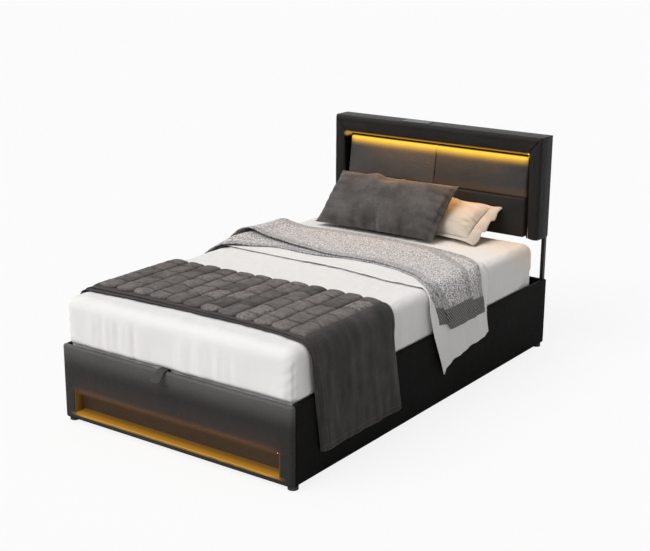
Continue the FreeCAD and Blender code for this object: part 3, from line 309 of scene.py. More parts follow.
# Lit and shaded copies of the panel leather: painted lighter on the left upper panel for the light on it,
# and painted darker on the right upper and lower panels for their shade.
lit_leather = leather_finish("panel_leather", panel_glow, (0.050, 0.0505, 0.051), 0.12)
far_leather_painted_shade = leather_finish("panel_leather_far_painted_shade", panel_glow, (0.037, 0.0375, 0.038), 0.10)
low_leather_painted_shade = leather_finish("panel_leather_low_painted_shade", panel_glow, (0.020, 0.0195, 0.0185), 0.06)
# The footboard's leather, with a painted highlight towards its upper edge.
foot_leather = leather_finish(
    "footboard_leather", footboard_glow, (0.0145, 0.0130, 0.0120), 0.22, (0.086, 0.085, 0.083)
)
niche_skin = leather_finish("niche_lining", niche_glow, (0.03, 0.024, 0.02))

# %% Board and wood
board = Finish("board", (0.36, 0.25, 0.15), 0.62)
board_grain = board.cloud(26, 5, 0.6, board.stretched(1, 0.12, 1))
board.feed("Base Color", board.blend(board_grain, (0.30, 0.20, 0.115), (0.44, 0.32, 0.20)))
board.bump(board_grain, 0.0006, 0.4)

timber = Finish("timber", (0.52, 0.36, 0.20), 0.55)
growth = timber.cloud(14, 4, 0.6, timber.stretched(0.16, 1.6, 1.6))
timber.feed(
    "Base Color", timber.blend(timber.step(growth, 0.35, 0.7), (0.60, 0.44, 0.26), (0.40, 0.25, 0.13))
)
timber.feed("Roughness", growth * 0.2 + 0.45)
timber.bump(growth, 0.0008, 0.4)

# %% Metal and moulded parts
steel = Finish("black_steel", (0.02, 0.02, 0.021), 0.42, metallic=0.3)
steel.feed("Roughness", steel.cloud(180, 2) * 0.14 + 0.36)
steel.bump(steel.cloud(900, 2), 0.0002, 0.35)
chrome = Finish("polished_rod", (0.55, 0.55, 0.56), 0.14, metallic=1.0)
chrome.feed("Roughness", chrome.cloud(120, 2, 0.5, chrome.stretched(8, 1, 1)) * 0.1 + 0.1)
glide_plastic = Finish("glide_plastic", (0.018, 0.018, 0.018), 0.5)
glide_plastic.bump(glide_plastic.cloud(500, 2), 0.0003, 0.4)
light_profile = Finish(
    "led_profile", (0.025, 0.023, 0.022), 0.5, specular_ior_level=0.15, emission_strength=1.0
)
# Painted light: the LED channels glow amber as if lit by their strips, brightly on the headboard's and
# faintly on the footboard's.
painted_profile_glow = light_profile.step(light_profile.parts(light_profile.place)[2], 0.5, 0.6)
light_profile.feed(
    "Emission Color", light_profile.blend(painted_profile_glow, (0.05, 0.019, 0.001), (0.42, 0.18, 0.006))
)
light_profile.feed(
    "Roughness", light_profile.cloud(300, 2, 0.5, light_profile.stretched(0.05, 1, 1)) * 0.2 + 0.3
)
station_plastic = Finish("station_plastic", (0.02, 0.02, 0.021), 0.38)
station_plastic.bump(station_plastic.cloud(1400, 2), 0.0002, 0.4)
socket_plastic = Finish("socket_plastic", (0.055, 0.055, 0.058), 0.45)
socket_plastic.bump(socket_plastic.cloud(1500, 2), 0.00015, 0.4)
dust_cloth = Finish("dust_cloth", (0.022, 0.022, 0.023), 0.95)
felt = dust_cloth.cloud(420, 4, 0.7)
dust_cloth.feed("Base Color", dust_cloth.blend(felt, (0.012, 0.012, 0.013), (0.04, 0.04, 0.042)))
dust_cloth.bump(felt, 0.0006, 0.6)

# %% Lit diffuser
diffuser = Finish("led_diffuser", (0.9, 0.6, 0.2), 0.5, emission_strength=3.0)
glow_run = diffuser.cloud(30, 1)
diffuser_end = diffuser.step(diffuser.parts(diffuser.place)[0].math("ABSOLUTE"), 0.5452, 0.5456)
diffuser_light = diffuser.blend(glow_run, (1.0, 0.50, 0.035), (1.0, 0.56, 0.05))
diffuser.feed("Emission Color", diffuser.blend(diffuser_end, diffuser_light, (0.03, 0.012, 0.001)))

# %% Cloths
linen = Finish("white_linen", (0.79, 0.775, 0.755), 0.92, sheen_weight=0.12, specular_ior_level=0.25)
linen_place = linen.attribute("cloth_place")
threads = linen.cloud(1500, 2, 0.6, linen.stretched(1, 0.2, 1, linen_place))
_, linen_y, linen_z = linen.parts(linen.place)
# Painted light: near the headboard the sheet is tinted warm, where the strip lights it.
painted_strip_light = linen.step(linen_y, 0.55, 0.95) * linen.step(linen_z, 0.40, 0.57) * 0.75
linen_tone = linen.blend(linen.cloud(3, 3), (0.775, 0.76, 0.74), (0.81, 0.80, 0.785))
linen.feed("Base Color", linen.blend(painted_strip_light, linen_tone, (0.80, 0.67, 0.51)))
linen.bump(threads + linen.cloud(70, 3) * 1.2, 0.0007, 0.35)

# The white pillow's linen: a warmer, darker copy of the white linen, its colour painted with the strip's
# warm light and the headboard's shade.
pillow_linen_painted_light_and_shade = Finish("pillow_linen_painted_light_and_shade", (0.60, 0.53, 0.455), 0.92, sheen_weight=0.12, specular_ior_level=0.2)
slub = pillow_linen_painted_light_and_shade.cloud(900, 2, 0.6, pillow_linen_painted_light_and_shade.stretched(1, 0.25, 1))
pillow_tone = pillow_linen_painted_light_and_shade.blend(pillow_linen_painted_light_and_shade.cloud(6, 3), (0.545, 0.475, 0.385), (0.62, 0.55, 0.46))
# Painted shade in the case's creases and painted highlight on its ridges.
pillow_fold_shading = pillow_linen_painted_light_and_shade.parts(pillow_linen_painted_light_and_shade.attribute("painted_fold_shading"))
pillow_tone = pillow_linen_painted_light_and_shade.blend(pillow_fold_shading[0] * 0.65, pillow_tone, (0.36, 0.255, 0.165))
pillow_linen_painted_light_and_shade.feed("Base Color", pillow_linen_painted_light_and_shade.blend(pillow_fold_shading[1] * 0.4, pillow_tone, (0.74, 0.66, 0.56)))
pillow_linen_painted_light_and_shade.bump(slub + pillow_linen_painted_light_and_shade.cloud(60, 3) * 1.5, 0.0008, 0.4)

tick = Finish("mattress_cloth", (0.62, 0.61, 0.60), 0.9)
tick_rows = (tick.parts(tick.place)[0] * 90).sine() * (tick.parts(tick.place)[1] * 90).sine()
tick.bump(tick_rows + tick.cloud(300, 2), 0.002, 0.4)
tick.feed("Base Color", tick.blend(tick.cloud(8, 3), (0.58, 0.57, 0.56), (0.66, 0.65, 0.64)))

wool = Finish("grey_wool", (0.36, 0.34, 0.345), 0.95, sheen_weight=0.3, specular_ior_level=0.2)
wool_place = wool.parts(wool.attribute("cloth_place"))
wool_band_and_hang_shade = wool.parts(wool.attribute("cloth_band_and_hang_shade"))[0]
weave_u = (wool_place[0] + wool_place[1]) * 440
weave_v = (wool_place[0] - wool_place[1]) * 440
knots = weave_u.sine() * weave_v.sine()
stitch_cells = {"Vector": wool.attribute("cloth_place"), "Scale": 170}
stitches = wool.node("ShaderNodeTexVoronoi", {"feature": "F1"}, stitch_cells, "Distance")
fluff = wool.cloud(150, 3, 0.65)
specks = wool.cloud(75, 3, 0.7, wool.stretched(1.6, 0.8, 1, wool.attribute("cloth_place")))
weave = wool.step(knots * 0.16 - stitches * 0.9 + specks * 0.9, -0.26, 0.22)
wool_tone = wool.blend(weave, (0.25, 0.235, 0.235), (0.88, 0.85, 0.84))
band_knots = (wool_place[0] * 420).sine() * (wool_place[1] * 420).sine()
band_tone = wool.blend(
    wool.step(band_knots * 0.6 + fluff, 0.25, 0.85), (0.014, 0.012, 0.0125), (0.29, 0.27, 0.265)
)
# The coarse band's colour, which is also painted over the hanging sides as shade.
wool.feed("Base Color", wool.blend(wool_band_and_hang_shade, wool_tone, band_tone))
wool.bump(knots * 0.5 + fluff + band_knots * wool_band_and_hang_shade, 0.0035, 0.6)

quilting = Finish(
    "charcoal_quilting", (0.08, 0.07, 0.066), 0.88, sheen_weight=0.12, specular_ior_level=0.15
)
cell_tone_and_painted_light = quilting.parts(quilting.attribute("cell_tone_and_painted_light"))
quilt_nap = quilting.cloud(420, 4, 0.7)
quilt_wisps = quilting.cloud(70, 4, 0.65)
quilt_blotch = quilting.cloud(22, 4, 0.7)
# The attribute's first number gives each cell a random tone, with painted highlight on its lumps, painted
# shade in its creases, and painted shade on the hanging sides and the flat layers.
quilt_tone = quilting.blend(cell_tone_and_painted_light[0], (0.020, 0.0185, 0.017), (0.250, 0.216, 0.204))
wisps = quilting.step(quilt_wisps, 0.38, 0.68) * cell_tone_and_painted_light[0] * 0.9
blotches = quilting.step(quilt_blotch, 0.45, 0.72) * cell_tone_and_painted_light[0] * 0.6
quilt_tone = quilting.blend(wisps, quilt_tone, (0.052, 0.047, 0.044))
quilt_tone = quilting.blend(blotches, quilt_tone, (0.27, 0.236, 0.222))
quilt_tone = quilting.blend(quilting.step(quilt_nap, 0.5, 0.8) * 0.35, quilt_tone, (0.10, 0.088, 0.083))
# Painted shade: the seams are blended nearly black.
quilting.feed("Base Color", quilting.blend(cell_tone_and_painted_light[1] * 0.85, quilt_tone, (0.014, 0.0125, 0.0115)))
quilting.bump(quilt_nap + quilt_wisps * 1.5, 0.0026, 0.7)

thread = Finish("thread", (0.16, 0.14, 0.132), 0.7, specular_ior_level=0.2)
thread.bump(thread.cloud(2500, 2), 0.0002, 0.5)
thread.feed("Base Color", thread.blend(thread.cloud(60, 2), (0.13, 0.115, 0.108), (0.19, 0.168, 0.158)))

velvet = Finish("charcoal_velvet", (0.07, 0.062, 0.056), 0.85, sheen_weight=0.25, specular_ior_level=0.15)
velvet_nap = velvet.cloud(500, 4, 0.7)
velvet_wisps = velvet.cloud(110, 4, 0.7)
velvet_patches = velvet.cloud(9, 4, 0.65)
velvet_tone = velvet.blend(
    velvet.step(velvet_patches, 0.35, 0.68), (0.058, 0.051, 0.047), (0.106, 0.095, 0.088)
)
velvet_tone = velvet.blend(velvet.step(velvet_wisps, 0.42, 0.72) * 0.45, velvet_tone, (0.028, 0.025, 0.023))
# Painted shade in the velvet's creases and painted highlight on its ridges.
velvet_fold_shading = velvet.parts(velvet.attribute("painted_fold_shading"))
velvet_tone = velvet.blend(velvet_fold_shading[0] * 0.6, velvet_tone, (0.022, 0.020, 0.018))
velvet.feed("Base Color", velvet.blend(velvet_fold_shading[1] * 0.35, velvet_tone, (0.140, 0.127, 0.117)))
velvet.bump(velvet_nap + velvet_wisps, 0.0014, 0.55)

webbing = Finish("strap_webbing", (0.03, 0.028, 0.027), 0.7)
webbing_place = webbing.parts(webbing.place)
webbing.bump(
    (webbing_place[0] * 2600).sine() + (webbing_place[1] * 2600).sine() + webbing.cloud(900, 2), 0.0005, 0.6
)
webbing.feed("Roughness", webbing.cloud(300, 2) * 0.2 + 0.6)
print("finishes", len(bpy.data.materials))

# %% Give the rigid nodes their finishes
RIGID = {
    niche_skin: ("niche_liner",),
    leather: (
        "footboard_core", "side_rail_left_core", "side_rail_right_core", "head_rail_core",
        "headboard_backboard",
    ),
    board: ("floor_board_foot", "floor_board_head"),
    timber: (
        "floor_ledge_left", "floor_ledge_right", "centre_beam", "rest_ledge_left", "rest_ledge_right",
        "headboard_beam_top", "headboard_beam_left", "headboard_beam_right", "slats",
    ),
    steel: (
        "corner_brackets", "headboard_leg_left", "headboard_leg_right", "hinge_plate_left",
        "hinge_plate_right", "main_link_left", "main_link_right", "front_link_left", "front_link_right",
        "strut_cylinder_left", "strut_cylinder_right", "lift_frame", "mattress_stop",
    ),
    chrome: ("strut_rod_left", "strut_rod_right"),
    glide_plastic: ("glides", "cable_grommet"),
    light_profile: ("footboard_led_channel", "headboard_led_channel"),
    diffuser: ("footboard_led_diffuser", "headboard_led_diffuser"),
    dust_cloth: ("headboard_dust_cover",),
    station_plastic: ("charging_station",),
    socket_plastic: ("charging_sockets",),
}
for finish, names in RIGID.items():
    for name in names:
        slots = frame["nodes"][name].material_slots
        for slot in slots:
            slot.material = finish.material
        if not slots:
            frame["nodes"][name].data.materials.append(finish.material)
print("rigid nodes finished", sum(len(names) for names in RIGID.values()))

# %% [markdown]
# ## Meshes from grids
# Cloth is easiest as a grid of points: one direction goes across the bed and down its sides, the
# other goes along it. Each piece keeps its own flat place in an attribute, so the weave follows it.

# %% Grid helpers
def grid_faces(rows, cols, round_rows=False, round_cols=False):
    """The four-sided faces of a grid of points, closed on itself where asked."""
    faces = []
    for row in range(rows if round_rows else rows - 1):
        below = row * cols
        above = ((row + 1) % rows) * cols
        for col in range(cols if round_cols else cols - 1):
            beside = (col + 1) % cols
            faces.append((below + col, below + beside, above + beside, above + col))
    return faces


def piece(name, points, faces, finish, body):
    """A smooth mesh object that rides on a body and takes a slot's finish."""
    mesh = bpy.data.meshes.new(name)
    mesh.from_pydata(np.asarray(points, float).reshape(-1, 3).tolist(), [], faces)
    mesh.polygons.foreach_set("use_smooth", [True] * len(mesh.polygons))
    mesh.materials.append(finish.material)
    item = bpy.data.objects.new(name, mesh)
    scene.collection.objects.link(item)
    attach(item, body)
    return item


def keep_place(item, name, values):
    """Store three numbers at each point, for a pattern that follows the cloth."""
    data = item.data.attributes.new(name, "FLOAT_VECTOR", "POINT")
    data.data.foreach_set("vector", np.asarray(values, float).ravel())


def thicken(item, depth):
    """Give a sheet its thickness, outwards from the side that lies on the bed."""
    shell = item.modifiers.new("thickness", "SOLIDIFY")
    shell.thickness = depth
    shell.offset = 1.0
    shell.use_even_offset = False


def smooth(item):
    """Round a mesh by one level of subdivision."""
    rounding = item.modifiers.new("rounding", "SUBSURF")
    rounding.levels = 1
    rounding.render_levels = 1


def plane(one, two):
    """Points from two arrays of numbers, with a third that is zero."""
    return np.stack([one, two, 0 * two], axis=-1)


def soft_noise(points, scale, seed):
    """Random heights from -1 to 1 at an array of points."""
    flat = np.asarray(points, float).reshape(-1, 3) * scale + seed * 7.31
    return np.array([noise.noise(Vector(p)) for p in flat]).reshape(np.shape(points)[:-1])


def ramp(value, low, high):
    """0 below low, 1 above high and smooth between."""
    share = np.clip((value - low) / (high - low), 0, 1)
    return share * share * (3 - 2 * share)


# %% [markdown]
# ## The way across the bed
# A cloth goes flat over the mattress, bends at its edge and hangs down outside the rail. That
# path is worked out once. A cloth then asks for points at a distance from the middle and a height
# above the sheet.

# %% The cross path
SIDE_BULGE = 0.020
FOOT_BULGE = 0.027
sheet_low, sheet_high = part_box("fitted_sheet")
bed_half = sheet_high.x + SIDE_BULGE
bed_foot = sheet_low.y - FOOT_BULGE
bed_top = sheet_high.z
rail_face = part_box("side_rail_right_cover")[1].x
BEND_START = bed_half - 0.046
BEND_FALL = 0.09
HANG_CLEARANCE = 0.0035


def cross_path(bottom):
    """X and Z from the bed's middle, over the edge and down to a hem at height bottom."""
    reach = rail_face + HANG_CLEARANCE - BEND_START
    bend = [
        (BEND_START + reach * math.sin(a), bed_top - BEND_FALL * (1 - math.cos(a)))
        for a in np.linspace(0, math.pi / 2, 40)
    ]
    return np.array([(0.0, bed_top), *bend, (rail_face + HANG_CLEARANCE, bottom)])


path_points = cross_path(0.02)
path_length = np.concatenate([[0], np.cumsum(np.hypot(*np.diff(path_points, axis=0).T))])
EDGE = path_length[-2]
print("distance from the middle to the hang", round(EDGE, 3))


def hem_reach(height):
    """The distance from the middle at which a cloth's hem hangs at this height."""
    return EDGE + path_points[-2][1] - height


def lay(across, along, rise):
    """Points at a distance across the bed, a place along it and a height above its sheet."""
    reach = np.abs(across)
    x = np.interp(reach, path_length, path_points[:, 0])
    z = np.interp(reach, path_length, path_points[:, 1])
    step = 0.004
    ahead_x = np.interp(reach + step, path_length, path_points[:, 0])
    ahead_z = np.interp(reach + step, path_length, path_points[:, 1])
    behind_x = np.interp(np.maximum(reach - step, 0), path_length, path_points[:, 0])
    behind_z = np.interp(np.maximum(reach - step, 0), path_length, path_points[:, 1])
    run = np.hypot(ahead_x - behind_x, ahead_z - behind_z)
    out_x = -(ahead_z - behind_z) / run
    out_z = (ahead_x - behind_x) / run
    side = np.where(across < 0, -1.0, 1.0)
    return np.stack([(x + out_x * rise) * side, along + 0 * x, z + out_z * rise], axis=-1)


def cloth_grid(rows, cols, left, right, foot, head):
    """Flat places of a cloth: across from left to right, along from its foot edge to its head edge."""
    share_along, share_across = np.meshgrid(np.linspace(0, 1, rows), np.linspace(0, 1, cols), indexing="ij")
    across = left(share_along) + (right(share_along) - left(share_along)) * share_across
    start = foot(across)
    along = start + (head(across) - start) * share_along
    return across, along, share_along


def through(pairs):
    """A smooth edge line through pairs of distance across and place along."""
    table = np.array(pairs)
    fine = np.linspace(table[0, 0], table[-1, 0], 400)
    raw = np.interp(fine, table[:, 0], table[:, 1])
    window = np.hanning(23)
    smoothed = np.convolve(np.pad(raw, 11, mode="edge"), window / window.sum(), mode="valid")
    return lambda across: np.interp(across, fine, smoothed)


def hanging(across):
    """0 on top of the bed and 1 well down its side."""
    return ramp(np.abs(across), EDGE - 0.05, EDGE + 0.22)


def folds(across, along, seed, length=0.12):
    """Soft upright folds that deepen towards the hem, from 0 to 1."""
    side = np.sign(across)
    lean = along - 0.25 * side * (np.abs(across) - EDGE)
    broad = np.sin(2 * math.pi * lean / length + seed)
    narrow = np.sin(2 * math.pi * lean / (length * 0.47) + 2.1 * seed)
    wave = broad + 0.6 * narrow
    spot = soft_noise(np.stack([across * 0.8, along * 2.5, 0 * along + seed], axis=-1), 2.2, seed)
    return hanging(across) * np.clip(0.5 + 0.28 * wave + 0.5 * spot, 0, 1.4)


# %% [markdown]
# ## Leather over foam
# The rails, the footboard and the headboard's panels are boards with foam and leather pulled over
# them. Such a plate is flat with a round front edge, its outline has round corners, and the
# leather dips and creases a little where it is pulled round. One function makes them all. It lays
# a grid over the plate that is fine near the edges, and can leave a window, as for the lit niche.

# %% A padded plate
SIDE_AXES = {"foot": (0, 2, 1, -1), "head": (0, 2, 1, 1), "right": (1, 2, 0, 1), "left": (1, 2, 0, -1)}


def fine_edges(low, high, radius, step):
    """Places from low to high, close together near both ends."""
    near_edge = radius * np.array([0, 0.04, 0.12, 0.24, 0.4, 0.6, 0.8, 1.0])
    start = low + near_edge
    stop = (high - near_edge)[::-1]
    count = max(2, int((stop[0] - start[-1]) / step) + 1)
    return np.concatenate([start, np.linspace(start[-1], stop[0], count)[1:-1], stop])


def padded_plate(
    name, node, finish, face, radius, back_radius, corner, crown, crease, window=None, step=0.022, lean=0.0
):
    """Leather over foam in the space of a node, its padded face towards foot, head, left or right.

    radius rounds the edges of that face, back_radius those behind it, and corner the outline. crown
    is how far the middle stands out, crease how deep the leather dips and creases near its rim, and
    lean how far the face leans back at its top. window is an opening: left, right, bottom, top.
    """
    low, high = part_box(node)
    u_axis, v_axis, deep, sign = SIDE_AXES[face]
    parts_u = [(low[u_axis], high[u_axis])]
    parts_v = [(low[v_axis], high[v_axis])]
    if window:
        parts_u = [(low[u_axis], window[0]), (window[0], window[1]), (window[1], high[u_axis])]
        parts_v = [(low[v_axis], window[2]), (window[2], window[3]), (window[3], high[v_axis])]

    def line(parts, grain):
        runs = [fine_edges(a, b, min(radius, (b - a) / 2.2), grain) for a, b in parts]
        joined = runs[0]
        for more in runs[1:]:
            joined = np.concatenate([joined, more[1:]])
        return joined

    us = line(parts_u, step)
    vs = line(parts_v, step)
    u, v = np.meshgrid(us, vs)
    middle_u = (low[u_axis] + high[u_axis]) / 2
    middle_v = (low[v_axis] + high[v_axis]) / 2
    half_u = (high[u_axis] - low[u_axis]) / 2
    half_v = (high[v_axis] - low[v_axis]) / 2
    over_u = np.abs(u - middle_u) - (half_u - corner)
    over_v = np.abs(v - middle_v) - (half_v - corner)
    in_corner = (over_u > 0) & (over_v > 0)
    away = np.hypot(np.maximum(over_u, 0), np.maximum(over_v, 0))
    gap = np.where(in_corner, corner - away, np.minimum(corner - over_u, corner - over_v))
    pull = np.where(in_corner & (away > corner), corner / np.maximum(away, 1e-9), 1.0)
    round_off = in_corner & (away > corner)
    u = np.where(round_off, middle_u + np.sign(u - middle_u) * (half_u - corner + over_u * pull), u)
    v = np.where(round_off, middle_v + np.sign(v - middle_v) * (half_v - corner + over_v * pull), v)
    gap = np.maximum(gap, 0)

    def fall(distance, size):
        share = np.clip(1 - distance / size, 0, 1)
        return size * (1 - np.sqrt(1 - share**2))

    front = fall(gap, radius)
    if window:
        out_u = np.maximum(np.maximum(window[0] - u, u - window[1]), 0)
        out_v = np.maximum(np.maximum(window[2] - v, v - window[3]), 0)
        to_window = np.hypot(out_u, out_v)
        front = np.maximum(front, fall(to_window, radius * 0.6))
    swell = crown * (1 - ((u - middle_u) / half_u) ** 4) * (1 - ((v - middle_v) / half_v) ** 4)
    spot = plane(u, v)
    soft = soft_noise(spot, 7, 51 + len(name))
    sharp = np.maximum(0, 1 - 6 * np.abs(soft_noise(spot, 11, 55 + len(name))))
    near_rim = np.exp(-gap / 0.05) * ramp(gap, 0.0, 0.012)
    front = front + crown - swell + crease * (0.5 * soft + sharp * near_rim)
    front = np.maximum(front, 0) + lean * (v - low[v_axis]) / (2 * half_v)
    back = fall(gap, back_radius)
    outer_side = high[deep] if sign > 0 else low[deep]
    inner_side = low[deep] if sign > 0 else high[deep]

    def stack(depth_place):
        points = np.zeros((*u.shape, 3))
        points[..., u_axis] = u
        points[..., v_axis] = v
        points[..., deep] = depth_place
        return points

    grid_front = stack(outer_side - sign * front)
    grid_back = stack(inner_side + sign * back)
    rows, cols = u.shape
    count = rows * cols
    solid_cells = np.ones((rows - 1, cols - 1), bool)
    if window:
        middle_us = (us[:-1] + us[1:]) / 2
        middle_vs = (vs[:-1] + vs[1:]) / 2
        inside_u = (middle_us > window[0]) & (middle_us < window[1])
        inside_v = (middle_vs > window[2]) & (middle_vs < window[3])
        solid_cells = ~(inside_v[:, None] & inside_u[None, :])
    faces = []
    edges = {}
    for row in range(rows - 1):
        for col in range(cols - 1):
            if not solid_cells[row, col]:
                continue
            a = row * cols + col
            ring = (a, a + 1, a + cols + 1, a + cols)
            faces.append(ring)
            faces.append(tuple(i + count for i in reversed(ring)))
            for one, two in zip(ring, ring[1:] + ring[:1]):
                if (two, one) in edges:
                    del edges[(two, one)]
                else:
                    edges[(one, two)] = True
    for one, two in edges:
        faces.append((two, one, one + count, two + count))
    flips = (u_axis, v_axis, deep, sign) in ((0, 2, 1, 1), (1, 2, 0, -1))
    if flips:
        faces = [tuple(reversed(f)) for f in faces]
    points = np.concatenate([grid_front.reshape(-1, 3), grid_back.reshape(-1, 3)])
    item = piece(name, points, faces, finish, "base")
    tidy = bmesh.new()
    tidy.from_mesh(item.data)
    bmesh.ops.remove_doubles(tidy, verts=tidy.verts, dist=0.00002)
    loose = [v for v in tidy.verts if not v.link_faces]
    bmesh.ops.delete(tidy, geom=loose, context="VERTS")
    bmesh.ops.recalc_face_normals(tidy, faces=tidy.faces)
    tidy.to_mesh(item.data)
    tidy.free()
    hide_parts(node)


# %% Footboard, rails and panels
niche_low, niche_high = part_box("niche_liner")
window = (niche_low.x + 0.0048, niche_high.x - 0.0048, niche_low.z + 0.0052, niche_high.z - 0.0048)
padded_plate(
    "footboard_padding", "footboard_cover", foot_leather, "foot", 0.0145, 0.006, 0.011, 0.004, 0.0010,
    window
)
for side in ("right", "left"):
    cover = f"side_rail_{side}_cover"
    padded_plate(
        f"rail_{side}_padding", cover, rail_leather, side, 0.010, 0.006, 0.008, 0.001, 0.001, None, 0.03
    )
padded_plate(
    "rail_head_padding", "head_rail_cover", rail_leather, "head", 0.010, 0.006, 0.008, 0.001, 0.001, None,
    0.03
)
LEAN = 0.027
PANEL_SKIN = {
    ("left", "upper"): lit_leather, ("right", "upper"): far_leather_painted_shade,
    ("left", "lower"): low_leather_painted_shade, ("right", "lower"): low_leather_painted_shade,
}
for side in ("left", "right"):
    for level in ("lower", "upper"):
        padded_plate(
            f"panel_{side}_{level}", f"headboard_panel_{side}_{level}", PANEL_SKIN[side, level], "foot",
            0.013, 0.004, 0.012, 0.004, 0.0016, None, 0.018, LEAN if level == "upper" else 0.0,
        )
plates = [o.name for o in bpy.data.objects if o.name.endswith("_padding") or o.name.startswith("panel_")]
print("padded plates", len(plates))

# %% [markdown]
# ## The mattress and its fitted sheet
# The mattress is a padded block and the sheet is stretched over it. The sheet is the block's
# rounded outline with soft upright drapes on its sides, small pulls at its corners and slight
# creases on top.

# %% A rounded block of even squares
def rounded_block(low, high, radius, step):
    """The points and faces of a box whose edges and corners are round."""
    low = np.array(low, float)
    high = np.array(high, float)
    size = high - low
    counts = [max(4, int(round(length / step))) for length in size]
    index = {}
    points = []
    faces = []

    def number(key):
        if key not in index:
            index[key] = len(points)
            points.append([low[a] + size[a] * key[a] / counts[a] for a in range(3)])
        return index[key]

    for axis in range(3):
        one, two = [a for a in range(3) if a != axis]
        for end in (0, counts[axis]):
            for i in range(counts[one]):
                for j in range(counts[two]):
                    corner = []
                    for di, dj in ((0, 0), (1, 0), (1, 1), (0, 1)):
                        key = [0, 0, 0]
                        key[axis] = end
                        key[one] = i + di
                        key[two] = j + dj
                        corner.append(number(tuple(key)))
                    flip = (end == 0) == (axis != 1)
                    faces.append(tuple(reversed(corner)) if flip else tuple(corner))
    points = np.array(points)
    inner = np.clip(points, low + radius, high - radius)
    out = points - inner
    length = np.maximum(np.linalg.norm(out, axis=1), 1e-9)[:, None]
    return inner + out / length * radius, faces, out / length


# %% Mattress
mattress_low, mattress_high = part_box("mattress")
RAIL_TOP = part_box("side_rail_right_cover")[1].z
FIT_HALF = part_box("side_rail_right_cover")[0].x - 0.003
FIT_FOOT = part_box("footboard_cover")[1].y + 0.018
# At full lift the platform is turned by LIFT_TILT and stands LIFT_RISE higher.
LIFT_TILT = math.radians(30)
LIFT_RISE = 0.4530


def tuck(points, give):
    """Draw a block in where it sits between the rails, lying down or with its head end let in."""
    lifted = points[:, 2] * math.cos(LIFT_TILT) - points[:, 1] * math.sin(LIFT_TILT) + LIFT_RISE
    low = 1 - ramp(np.minimum(points[:, 2], lifted), RAIL_TOP - 0.001, RAIL_TOP + 0.007)
    half = FIT_HALF - give
    x = np.clip(points[:, 0], -half, half)
    y = np.maximum(points[:, 1], FIT_FOOT + give)
    points[:, 0] += (x - points[:, 0]) * low
    points[:, 1] += (y - points[:, 1]) * low
    return points


core_points, core_faces, _ = rounded_block(
    (0.013 - bed_half, bed_foot + 0.014, mattress_low.z + 0.001),
    (bed_half - 0.013, mattress_high.y - 0.012, mattress_high.z - 0.006),
    0.047,
    0.022,
)
mattress = piece("mattress_pad", tuck(core_points, 0.006), core_faces, tick, "platform")
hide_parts("mattress")
print("mattress", len(mattress.data.polygons), "faces")

# %% Fitted sheet
CORNER = 0.056
sheet_points, sheet_faces, sheet_out = rounded_block(
    (-bed_half, bed_foot, sheet_low.z + 0.0007),
    (bed_half, sheet_high.y - 0.002, sheet_high.z - 0.001),
    CORNER,
    0.0136,
)
X, Y, Z = sheet_points.T
depth = bed_top - Z
side_share = ramp(depth, 0.025, 0.13)
along_side = np.where(np.abs(X) > bed_half - 0.03, Y, X)
warped = along_side + 0.02 * soft_noise(plane(along_side, Z), 7, 5)
patch = soft_noise(plane(along_side, Z * 0.5), 6, 3)
drape = np.abs(np.sin(warped * 31)) ** 0.7 + 0.5 * np.abs(np.sin(warped * 67 + 1)) - 0.8
sag = np.sin(along_side * 9 + Z * 16 + 2 * patch) * np.maximum(0, patch)
relief = side_share * (
    0.0115 * drape * np.clip(0.4 + 1.8 * patch, 0.12, 1.5) + 0.005 * patch + 0.004 * sag - 0.002
)
hem_pull = np.exp(-((Z - RAIL_TOP - 0.012) / 0.03) ** 2)
relief += hem_pull * 0.0035 * (np.abs(np.sin(warped * 88)) - 0.5) * np.clip(0.5 + patch, 0, 1)
top_share = 1 - ramp(depth, 0.0, 0.03)
crease_line = soft_noise(plane(X * 0.7 + Y * 0.5, Y * 1.1 - X * 0.4), 5, 9)
fine = soft_noise(plane(X * 1.5 + Y * 0.6, Y * 0.45), 13, 4)
faint = soft_noise(plane(X * 0.6 - Y * 0.8, Y * 0.5), 17, 6)
relief += top_share * (0.0028 * crease_line + 0.0030 * np.maximum(0, 1 - 6 * np.abs(fine)) - 0.003)
relief += top_share * 0.0018 * np.maximum(0, 1 - 5 * np.abs(faint))
corner_x = np.abs(X) - (bed_half - CORNER)
corner_y = (bed_foot + CORNER) - Y
around = np.arctan2(np.maximum(corner_y, 0), np.maximum(corner_x, 0) + 1e-6)
on_corner = ramp(np.minimum(corner_x, corner_y), -0.05, 0.0) * ramp(depth, 0.02, 0.06)
relief += on_corner * (0.0030 * np.sin(Z * 130 + around * 5) * np.exp(-np.abs(around - 0.8) / 0.6))
seam_line = np.exp(-(((around - 0.62) / 0.062) ** 2))
seam = seam_line * (corner_x > 0) * (corner_y > 0) * ramp(depth, 0.045, 0.07)
relief -= 0.0085 * seam
relief = np.clip(relief, -0.0105, 0.006) * ramp(Z - sheet_low.z, 0.0, 0.03)
at_head = ramp(Y, sheet_high.y - 0.09, sheet_high.y - 0.03)
relief = np.where(at_head > 0, np.maximum(relief, -0.001 - 0.02 * (1 - at_head)), relief)
sheet_points = tuck(sheet_points + sheet_out * (relief - 0.0015)[:, None], 0.0)
fitted = piece("fitted_sheet_cloth", sheet_points, sheet_faces, linen, "platform")
keep_place(fitted, "cloth_place", np.stack([X, Y, Z], axis=-1))
smooth(fitted)
opened = bmesh.new()
opened.from_mesh(fitted.data)
under_faces = [f for f in opened.faces if max(v.co.z for v in f.verts) < sheet_low.z + 0.004]
bmesh.ops.delete(opened, geom=under_faces, context="FACES")
opened.to_mesh(fitted.data)
opened.free()
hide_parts("fitted_sheet")
print("fitted sheet", len(fitted.data.polygons), "faces")

# %% [markdown]
# ## The top sheet
# A plain white sheet lies across the middle of the bed. Its foot edge is turned in a narrow hem,
# and on the right it hangs down to a point, because it was thrown over a little askew.

